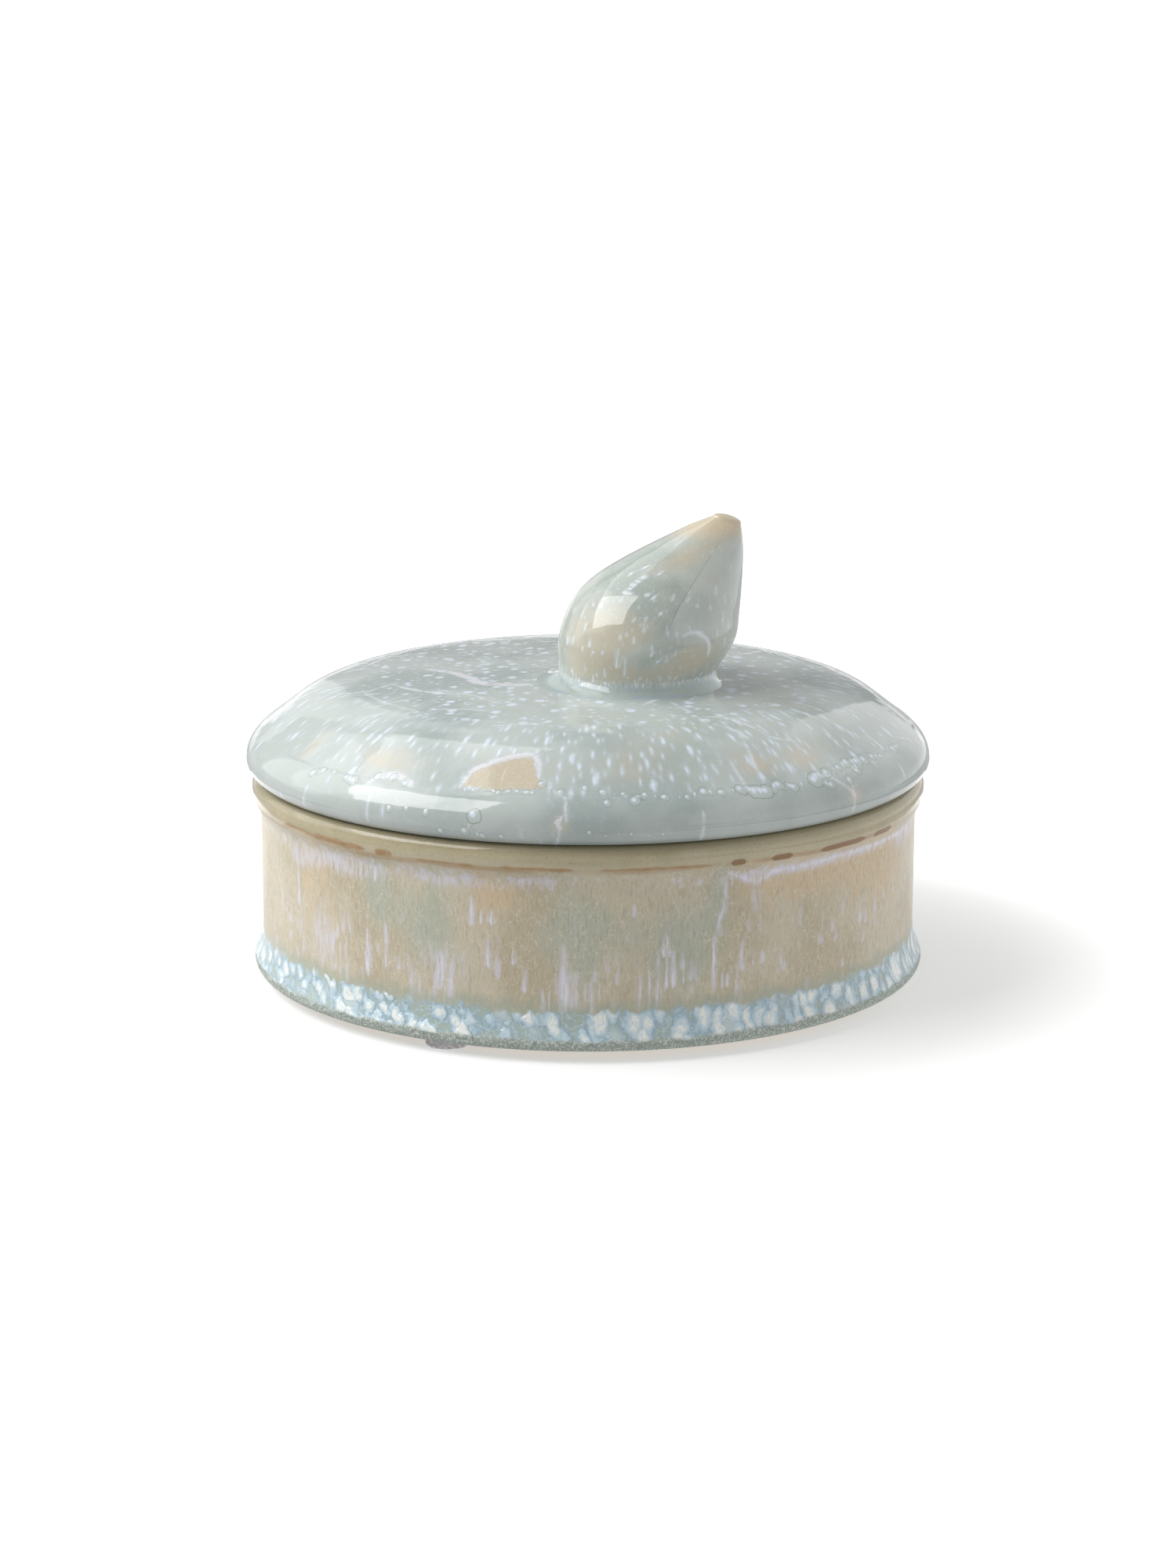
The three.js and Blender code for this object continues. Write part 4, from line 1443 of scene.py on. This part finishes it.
@dataclass
class BudKnob:
    """The knob: a solid bud that leans to the right, luted to the crown.

    slimness is how much less deep than wide its top is. fold is how far the crease's sides stand out, as
    a share of the radius, at fold_angle and over fold_width, in degrees. The skirt of glaze reaches
    skirt_reach past the neck, and fillet_reach further at fillet_angle. Marks are measured at
    mark_radius.
    """

    lid: Lid
    offset: float = 11.3
    forward: float = 14.0
    seat: float = 69.75
    height: float = 39.7
    width: float = 42.1
    neck_radius: float = 18.1
    neck_height: float = 4.5
    lean: float = 20.2
    tip_width: float = 6.5
    tip_tilt: float = 1.7
    tip_round: float = 1.1
    slimness: float = 0.35
    skirt_reach: float = 2.0
    fillet_reach: float = 5.0
    fillet_angle: float = 190.0
    fold: float = 0.038
    fold_angle: float = 81.0
    fold_width: float = 14.0
    mark_radius: float = 18.0
    rings: int = 120
    skirt_rings: int = 18
    tip_steps: int = 10
    sides: int = 240

    def _round(self) -> np.ndarray:
        """Gives the angle of each point of a ring, in radians."""
        return np.linspace(0, 2 * np.pi, self.sides, endpoint=False)

    def _side_curves(self) -> tuple[np.ndarray, np.ndarray]:
        """Draws the bud's left and right side.

        Returns:
            The two sides, a point (sideways, upwards) for each ring, in mm from the foot's middle.
        """
        neck, high = self.neck_radius, self.height
        belly = self.width - neck
        half_tip, half_tilt, tip_ring = self.tip_width / 2, self.tip_tilt / 2, high - self.tip_round
        left = ((-neck, self.neck_height), (-neck + 0.3, high * 0.32), (-neck + 5.6, high * 0.585),
                (self.lean - 10.7, high * 0.915), (self.lean - half_tip, tip_ring + half_tilt))
        right = ((neck, self.neck_height), (neck + (belly - neck) * 0.73, high * 0.288),
                 (neck + (belly - neck) * 0.88, high * 0.44), (belly, high * 0.805),
                 (self.lean + half_tip, tip_ring - half_tilt))
        shares = np.linspace(0, 1, self.rings)
        return smooth_curve(left, shares), smooth_curve(right, shares)

    def _ring(self, left: np.ndarray, right: np.ndarray, t: float) -> np.ndarray:
        """Lays one ring of the bud.

        Args:
            left: The ring's left end.
            right: The ring's right end.
            t: The ring's share of the rise.

        Returns:
            Its points in mm, from the right end round the back.
        """
        angle = self._round()
        middle, reach = (left + right) / 2, (right - left) / 2
        depth = np.hypot(*reach) * (1 - self.slimness * t**3)
        turned = np.degrees(np.minimum(angle, 2 * np.pi - angle))
        fold = np.exp(-np.abs((turned - self.fold_angle) / self.fold_width) ** 1.1)
        fade = np.clip((t - 0.3) / 0.3, 0, 1)
        swell = 1 + self.fold * fold * t * fade * fade * (3 - 2 * fade)
        side = middle[0] + reach[0] * swell * np.cos(angle)
        up = middle[1] + reach[1] * swell * np.cos(angle)
        back = depth * swell * np.sin(angle)
        return np.stack([side + self.offset, back - self.forward, up + self.seat], axis=1)

    def _skirt(self) -> list[np.ndarray]:
        """Lays the rings of the glaze skirt, which flares out to the crown, widest at the back left.

        Returns:
            The rings, from the crown up.
        """
        angle = self._round()
        toward = np.clip(np.cos(angle - math.radians(self.fillet_angle)), 0, 1) ** 1.5
        rings = []
        for share in np.linspace(0, 1, self.skirt_rings, endpoint=False) ** 1.8:
            flare = (self.skirt_reach + self.fillet_reach * toward) * (1 - math.sqrt(1 - (1 - share) ** 2))
            radius = self.neck_radius + flare
            x, y = self.offset + radius * np.cos(angle), radius * np.sin(angle) - self.forward
            foot = self.lid.crown_at(np.hypot(x, y)) - 0.2
            neck = self.seat + self.neck_height
            rings.append(np.stack([x, y, foot + (neck - foot) * share], axis=1))
        return rings

    def _marks(self) -> tuple[list[Stroke], list[Stroke], list[Tint]]:
        """Places the knob's veins and drops, its fold line and its zones.

        Returns:
            Veins and drops, fold line and zones, by ring angle and height over the seat.
        """
        arc = Stroke(((-71, 15), (-65, 15.8), (-59, 15.4), (-52, 13.7), (-48, 12.2), (-45, 9.4)), 0.45, 0.5)
        runs = [
            (-110, 12.4, -108, 7.6, 0.5), (-104, 10.6, -101, 5.8, 0.4), (-117, 7.6, -115, 5.2, 0.5),
            (-42, 19.8, -39, 16.8, 0.4), (-58, 25.2, -54, 23, 0.4), (-45, 23, -41, 21, 0.35),
            (-57, 21.4, -55, 19.8, 0.4), (-33, 17.4, -30, 14.6, 0.35), (-44, 15.6, -42, 13.8, 0.35),
            (-34, 13.4, -30, 10.8, 0.35), (-140, 17, -139, 15.2, 0.6), (-148, 19.6, -147, 17.8, 0.3),
            (-148, 13.8, -147, 11.4, 0.45), (-155, 13.2, -154, 11.2, 0.5), (-132, 13.8, -131, 11.8, 0.45),
            (-78, 11.2, -76, 9.2, 0.35), (-73, 12.2, -72, 10.6, 0.3), (-102, 15.2, -101, 13.4, 0.5),
            (-87, 12, -88, 10.6, 0.5), (-99, 19.4, -98, 17.2, 0.3), (-106, 19.2, -106, 18.2, 0.4),
            (-90, 24, -88, 22.6, 0.3), (-45, 29.2, -44, 27.8, 0.4), (-133, 35.2, -132, 33.4, 0.4),
            (-69, 21.6, -66, 21, 0.4), (-77, 23.4, -77, 22.2, 0.4), (60, 14, 44, 11, 0.5),
            (110, 12, 112, 5, 0.4), (150, 12, 150, 6, 0.4), (80, 20, 82, 17, 0.4),
            (130, 24, 130, 22, 0.6),
        ]
        drops = [
            (-137, 27.8, 3, 0.55), (-132, 29.2, 3, 0.7), (-123, 27.4, 6, 0.6), (-114, 28.2, 3, 0.75),
            (-125, 25.8, 6, 0.5), (-108, 24.0, 4, 0.5), (-102, 23.6, 1.5, 1.1), (-123, 24.2, 9, 0.35),
            (-136, 21.0, 3, 0.9), (-120, 11.2, 2, 0.7), (-127, 11.0, 2, 0.5), (-91, 20.1, 2, 0.5),
            (-90, 31.8, 2, 0.4), (-82, 32.5, 3, 0.35), (-82, 9.6, 2, 0.7),
        ]
        veins = [arc]
        for a, top, b, foot, half in runs:
            veins.append(Stroke(((a, top), (b, foot)), half * 0.5, half * 0.8))
        for a, z, wide, half in drops:
            veins.append(Stroke(((a - wide / 2, z), (a + wide / 2, z - 0.3)), half * 0.8, half * 0.8))
        folds = (-self.fold_angle, self.fold_angle)
        fold = [Stroke(((place, 37), (place, 14)), 0.14, 0.08) for place in folds]
        rows = [
            (-108, 30.5, 8, 3.5, 1.0), (-65, 36, 9, 3.5, 1.0), (-70, 26.5, 5, 2.6, 0.8),
            (-126, 9, 9, 5.5, 1.0), (-58, 10, 7, 3.8, 1.0), (-92, 6.5, 11, 2.6, 0.8),
            (-100, 15, 6, 4, 0.7), (-130, 17, 9, 5, 0.7), (-95, 26, 9, 3.5, -0.9), (-68, 20, 7, 4, -0.8),
            (-140, 30, 5, 4, -0.5), (-90, 11, 6, 4, -0.8), (-45, 32, 7, 3, -0.6), (80, 22, 9, 7, -0.6),
            (120, 10, 12, 4, 0.8), (40, 30, 9, 4, 0.8), (20, 9, 8, 4, 0.6),
        ]
        tints = [Tint(*row) for row in rows]
        return veins, fold, tints

    def build(self, glaze: bpy.types.Material) -> bpy.types.Object:
        """Lofts the knob and writes its marks.

        Args:
            glaze: The knob's finish.

        Returns:
            The piece.
        """
        lefts, rights = self._side_curves()
        rise = np.linspace(0, 1, self.rings)
        rings = self._skirt() + [self._ring(left, right, t) for left, right, t in zip(lefts, rights, rise)]
        left, right = lefts[-1], rights[-1]
        middle = (left + right) / 2
        outward = np.array([left[1] - right[1], right[0] - left[0]]) / np.hypot(*(right - left))
        for turn in np.linspace(0, math.pi / 2, self.tip_steps)[1:-1]:
            shift = outward * self.tip_round * math.sin(turn)
            shrink = 1 - math.cos(turn)
            ends = [end + (middle - end) * shrink + shift for end in (left, right)]
            rings.append(self._ring(*ends, 1.0))
        tip = middle + outward * self.tip_round
        base = rings[0].mean(axis=0)
        points = np.vstack(rings + [[base], [[tip[0] + self.offset, -self.forward, tip[1] + self.seat]]])
        count, around = len(rings), self.sides
        foot, top = count * around, count * around + 1
        faces: list[tuple[int, ...]] = []
        for k in range(around):
            n = (k + 1) % around
            faces.append((foot, n, k))
            faces.append((top, (count - 1) * around + k, (count - 1) * around + n))
            faces.extend(quad(i, k, around) for i in range(count - 1))
        mesh = bpy.data.meshes.new("stoneware_knob")
        mesh.from_pydata((points * MM).tolist(), [], faces)
        mesh.polygons.foreach_set("use_smooth", [True] * len(mesh.polygons))
        mesh.materials.append(glaze)
        angle = np.r_[np.tile(self._round(), count), 0, 0]
        height = points[:, 2] - self.seat
        marks = GlazeMarks(angle, height, np.full(len(points), self.mark_radius), near=1.2)
        veins, fold, tints = self._marks()
        turned = np.degrees(np.minimum(angle, 2 * np.pi - angle))
        flow = np.stack([np.cos(angle) * height, np.sin(angle) * height, height], axis=1)
        write_attribute(mesh, "flow", flow)
        # the distance from the fold, in mm, which places the painted reflection on the side right of it
        write_attribute(mesh, "facet", np.radians(self.fold_angle - turned) * self.neck_radius)
        write_attribute(mesh, "tint", marks.tints(tints))
        marks.write_strokes(mesh, "vein", veins)
        marks.write_strokes(mesh, "fold", fold)
        piece = bpy.data.objects.new("stoneware_knob", mesh)
        bpy.context.scene.collection.objects.link(piece)
        return piece


@dataclass
class FeltPads:
    """The three round felt pads under the foot ring, each with a fuzz of loose fibres.

    fibres is the number of fibres on a pad, drawn thicker than wool's own, so that they show. Each bends
    up by the share fibre_bend of its length.
    """

    radius: float = 5.0
    thickness: float = 2.5
    ring_radius: float = 71.0
    angles: tuple[float, ...] = (-115.6, 4.4, 124.4)
    fibres: int = 420
    fibre_length: float = 0.9
    fibre_radius: float = 0.035
    fibre_bend: float = 0.22
    sides: int = 72
    seed: int = 21
    tree: bpy.types.NodeTree = field(init=False)

    def __post_init__(self) -> None:
        """Builds the tree that sets fibres on a pad's side."""
        sizes = {
            "Fibres": "Float", "Fibre Length": "Float", "Fibre Radius": "Float", "Top": "Float",
            "Seed": "Int", "Felt": "Material",
        }
        self.tree = start_tree("felt_fuzz", "Pad", sizes, "Fuzzy Pad")
        add = partial(add_node, self.tree)
        given = add("NodeGroupInput").outputs
        pad = add("GeometryNodeMergeByDistance", {"Geometry": given["Pad"], "Distance": 1e-6})
        upward = add(PARTS, (add("GeometryNodeInputNormal"),)).outputs["Z"]
        level = add(MATH, (upward,), operation="ABSOLUTE")
        flat = add("FunctionNodeCompare", {"A": level, "B": 0.35}, data_type="FLOAT", operation="LESS_THAN")
        sowing = {"Mesh": pad, "Selection": flat, "Density": given["Fibres"], "Seed": given["Seed"]}
        sown = add("GeometryNodeDistributePointsOnFaces", sowing).outputs
        half = add(MATH, (given["Fibre Length"], 0.5), operation="MULTIPLY")
        back = add(MATH, (half, -1.0), operation="MULTIPLY")
        arch = add(MATH, (given["Fibre Length"], self.fibre_bend), operation="MULTIPLY")
        start = add(JOIN, {0: back})
        crest = add(JOIN, {2: arch})
        stop = add(JOIN, {0: half})
        bow = {"Resolution": 4, "Start": start, "Middle": crest, "End": stop}
        hair = add("GeometryNodeCurveQuadraticBezier", bow)
        ring = add("GeometryNodeCurvePrimitiveCircle", {"Resolution": 3, "Radius": given["Fibre Radius"]})
        tube = add("GeometryNodeCurveToMesh", {"Curve": hair, "Profile Curve": ring})
        spin = add("FunctionNodeRandomValue", {"Max": 2 * math.pi, "Seed": given["Seed"]}, data_type="FLOAT")
        twist = add("FunctionNodeEulerToRotation", (add(JOIN, {2: spin}),))
        lean = add("FunctionNodeRotateRotation", (sown["Rotation"], twist), rotation_space="LOCAL")
        standing = {"Points": sown["Points"], "Instance": tube, "Rotation": lean}
        fuzz = add("GeometryNodeInstanceOnPoints", standing)
        loose = add("GeometryNodeRealizeInstances", {"Geometry": fuzz})
        spot = add(PARTS, (add("GeometryNodeInputPosition"),)).outputs
        kept = add("ShaderNodeClamp", {"Value": spot["Z"], "Min": 2e-5, "Max": given["Top"]})
        inside = add(JOIN, (spot["X"], spot["Y"], kept))
        held = add("GeometryNodeSetPosition", {"Geometry": loose, "Position": inside})
        both = add("GeometryNodeJoinGeometry", (held,))
        self.tree.links.new(pad.outputs[0], both.inputs[0])
        soft = add("GeometryNodeSetShadeSmooth", {"Geometry": both})
        real = add("GeometryNodeRealizeInstances", {"Geometry": soft})
        felted = add("GeometryNodeSetMaterial", {"Geometry": real, "Material": given["Felt"]})
        add("NodeGroupOutput", {"Fuzzy Pad": felted})

    def _pad(self, angle: float, seed: int) -> bpy.types.Mesh:
        """Shapes one pad: a punched disc with pressed edges and a slightly lumpy side.

        Args:
            angle: The pad's place round the foot, in degrees.
            seed: Fixes its lumps.

        Returns:
            The mesh, in place.
        """
        rng = np.random.default_rng(seed)
        around, r, h = self.sides, self.radius, self.thickness
        side = np.linspace(0, 2 * np.pi, around, endpoint=False)
        levels = [
            (0.0, 0.0), (r * 0.5, 0.0), (r - 0.45, 0.0), (r - 0.12, 0.12), (r, 0.45), (r - 0.02, 0.9),
            (r - 0.05, 1.4), (r, 1.9), (r - 0.05, h - 0.25), (r - 0.25, h - 0.02), (r * 0.5, h), (0.0, h),
        ]
        phase = rng.uniform(0, 6.28, 6)
        points = []
        for radius, z in levels:
            lump = sum(np.sin(side * (5 + 4 * k) + phase[k] + z * (2 + k)) for k in range(6)) / 6
            reach = radius - (0.1 * (lump + 1) if radius > r * 0.6 else 0)
            points.append(np.stack([reach * np.cos(side), reach * np.sin(side), np.full(around, z)], axis=1))
        faces = [quad(i, k, around) for i in range(len(levels) - 1) for k in range(around)]
        turn = math.radians(angle)
        middle = np.array([self.ring_radius * math.cos(turn), self.ring_radius * math.sin(turn), 0])
        mesh = bpy.data.meshes.new("felt_disc")
        mesh.from_pydata(((np.vstack(points) + middle) * MM).tolist(), [], faces)
        mesh.validate()
        return mesh

    def build(self, felt: bpy.types.Material) -> list[bpy.types.Object]:
        """Makes the three pads.

        Args:
            felt: Their finish.

        Returns:
            The pieces.
        """
        area = 2 * math.pi * self.radius * self.thickness * MM * MM
        sizes = {
            "Fibres": self.fibres / area, "Fibre Length": self.fibre_length * MM,
            "Fibre Radius": self.fibre_radius * MM, "Top": (self.thickness - 0.05) * MM, "Felt": felt,
        }
        pads = []
        for number, angle in enumerate(self.angles, start=1):
            seed = self.seed + number
            disc, name = self._pad(angle, seed), f"felt_pad_{number}_fuzzy"
            pads.append(settle(disc, self.tree, {**sizes, "Seed": seed}, name))
        return pads


@dataclass(frozen=True)
class SoftBox:
    """A rectangular studio light, placed by the direction from which it shines on the pot.

    side and rise are that direction, in degrees from the camera's side and from the table. twist turns
    the light on its stand, and lift raises it without tilting it. The other sizes are in metres.
    """

    name: str
    side: float
    rise: float
    distance: float
    width: float
    height: float
    strength: float
    twist: float = 0.0
    lift: float = 0.0

    def hang(self, target: Vector) -> None:
        """Hangs the light so that it faces the target.

        Args:
            target: What it shines on, in metres.
        """
        side, rise = math.radians(self.side), math.radians(self.rise)
        away = Vector((math.cos(rise) * math.sin(side), -math.cos(rise) * math.cos(side), math.sin(rise)))
        lamp = bpy.data.lights.new(self.name, "AREA")
        lamp.shape = "RECTANGLE"
        lamp.size, lamp.size_y = self.width, self.height
        lamp.energy = self.strength * math.pi * self.width * self.height
        holder = bpy.data.objects.new(self.name, lamp)
        holder.location = target + away * self.distance + Vector((0, 0, self.lift))
        turned = away.to_track_quat("Z", "Y") @ Quaternion((0, 0, 1), math.radians(self.twist))
        holder.rotation_euler = turned.to_euler()
        holder.visible_camera = False
        bpy.context.scene.collection.objects.link(holder)


@dataclass
class Studio:
    """The pale table, the soft lights and the camera.

    Lengths are in metres, but lens, glow_start and glow_end are in mm. mirrored is half the width of the
    near part of the table, the only one that shows in the glaze. table_glow is the table's own light
    within glow_start of the middle, which sets how dark the shadow is, and it is 1 past glow_end.
    horizon, sky, front, sky_behind and ground are the strengths of the room's light from those sides.
    """

    target: Vector = field(default_factory=lambda: Vector((0, 0, 0.0433)))
    eye: Vector = field(default_factory=lambda: Vector((0, -0.7299, 0.2158)))
    lens: float = 72.99
    mirrored: float = 0.16
    floor_reach: float = 12.0
    paint: str = "#d1d1d1"
    table_glow: float = 0.42
    glow_start: float = 85.0
    glow_end: float = 215.0
    horizon: float = 1.1
    sky: float = 0.18
    front: float = 0.55
    sky_behind: float = 0.36
    ground: float = 0.58
    lights: tuple[SoftBox, ...] = (
        SoftBox("key_core", -72, 44.5, 1.2, 0.88, 0.72, 5.0, twist=28),
        SoftBox("key_high", -124, 60, 1.3, 0.8, 0.6, 1.7),
        SoftBox("key_left", -96, 34, 1.3, 1.2, 1.0, 1.0, twist=20),
        SoftBox("card_left", -115, 26, 1.4, 1.06, 1.3, 0.85),
        SoftBox("card_back", -159.5, 18.5, 1.3, 0.39, 1.13, 0.42),
        SoftBox("card_right", 96, 0, 1.0, 4.3, 1.7, 0.72, lift=0.69),
    )

    def build(self) -> None:
        """Sets up table, lights, surroundings and camera."""
        self._table()
        for light in self.lights:
            light.hang(self.target)
        self._surroundings()
        self._camera()
        bpy.context.scene.view_settings.view_transform = "Standard"

    def _table(self) -> None:
        """Lays a plain white table top that glows with its own light, weakest near the pot, in a near part
        that the glaze mirrors and a far part around it.
        """
        g = GlazeTree("glowing_white_table", self.paint, 0.9)
        far = g.add(VECTOR, (g.place,), operation="LENGTH").outputs["Value"]
        # painted light: the table's own glow, weak near the pot so that the shadow shows, and full past
        # glow_end, where it washes the shadow out
        glow = g.where((far, self.glow_start, self.glow_end, self.table_glow, 1.0))
        paint = g.finish(1.3, {
            "Emission Strength": glow, "Emission Color": (1, 1, 1, 1), "Specular IOR Level": 0.0,
        })
        corners = [(-1, -1), (1, -1), (1, 1), (-1, 1)]
        edges = (self.mirrored, self.floor_reach)
        points = [(x * reach, y * reach, 0.0) for reach in edges for x, y in corners]
        around = [(k + 4, (k + 1) % 4 + 4, (k + 1) % 4, k) for k in range(4)]
        for name, faces in {"table_near": [(0, 1, 2, 3)], "table_far": around}.items():
            mesh = bpy.data.meshes.new(name)
            mesh.from_pydata(points, [], faces)
            mesh.materials.append(paint)
            table = bpy.data.objects.new(name, mesh)
            table.visible_diffuse = False
            table.visible_glossy = name == "table_near"
            bpy.context.scene.collection.objects.link(table)

    def _surroundings(self) -> None:
        """Makes the room grey, paler behind the pot and near the table, and white where the table ends."""
        world = bpy.data.worlds.new("studio")
        bpy.context.scene.world = world
        world.use_nodes = True
        world.node_tree.nodes.clear()
        add = partial(add_node, world.node_tree)
        way = add(PARTS, (add("ShaderNodeTexCoord").outputs["Generated"],)).outputs
        front = add(RANGE, (way["Z"], 0.0, 0.4, self.front, self.sky), **SOFT)
        room = add(RANGE, (way["Y"], -0.3, 0.85, front, self.sky_behind), **SOFT)
        rim = add(RANGE, (way["Y"], 0.9, 0.97, front, self.horizon), **SOFT)
        above = add(RANGE, (way["Z"], 0.012, 0.045, rim, room), **SOFT)
        light = add(RANGE, (way["Z"], -0.05, -0.02, self.ground, above), **SOFT)
        glow = add("ShaderNodeBackground", {"Color": (1, 1, 1, 1), "Strength": light})
        add("ShaderNodeOutputWorld", {"Surface": glow})

    def _camera(self) -> None:
        """Sets the camera at the photograph's angle."""
        lens = bpy.data.cameras.new("camera")
        lens.lens = self.lens
        lens.sensor_width = 36
        lens.clip_start, lens.clip_end = 0.01, 50
        camera = bpy.data.objects.new("camera", lens)
        camera.location = self.eye
        camera.rotation_euler = (self.target - self.eye).to_track_quat("-Z", "Y").to_euler()
        bpy.context.scene.collection.objects.link(camera)
        bpy.context.scene.camera = camera


def place(piece: bpy.types.Object, body: str, slot: str, *nodes: str) -> None:
    """Lets a piece stand for its CAD nodes.

    Args:
        piece: The piece.
        body: The body it moves with.
        slot: The material slot of its finish; not used.
        *nodes: The nodes it stands for.
    """
    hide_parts(*nodes)
    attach(piece, body)
    log.info("%s stands for %s on %s, %d faces", piece.name, ", ".join(nodes), body, len(piece.data.polygons))


def main() -> None:
    """Builds the box piece by piece."""
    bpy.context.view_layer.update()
    wheel = TurnedWare()
    lid = Lid(wheel)
    place(PotBody(wheel).build(PotGlaze().material()), "pot", "pot_glaze", "pot_body")
    place(lid.build(LidGlaze().material()), "cover", "lid_glaze", "lid")
    place(BudKnob(lid).build(KnobGlaze().material()), "cover", "knob_glaze", "knob")
    for number, pad in enumerate(FeltPads().build(PadFelt().material()), start=1):
        place(pad, "pot", "felt", f"felt_pad_{number}")
    Studio().build()


if __name__ == "__main__":
    main()
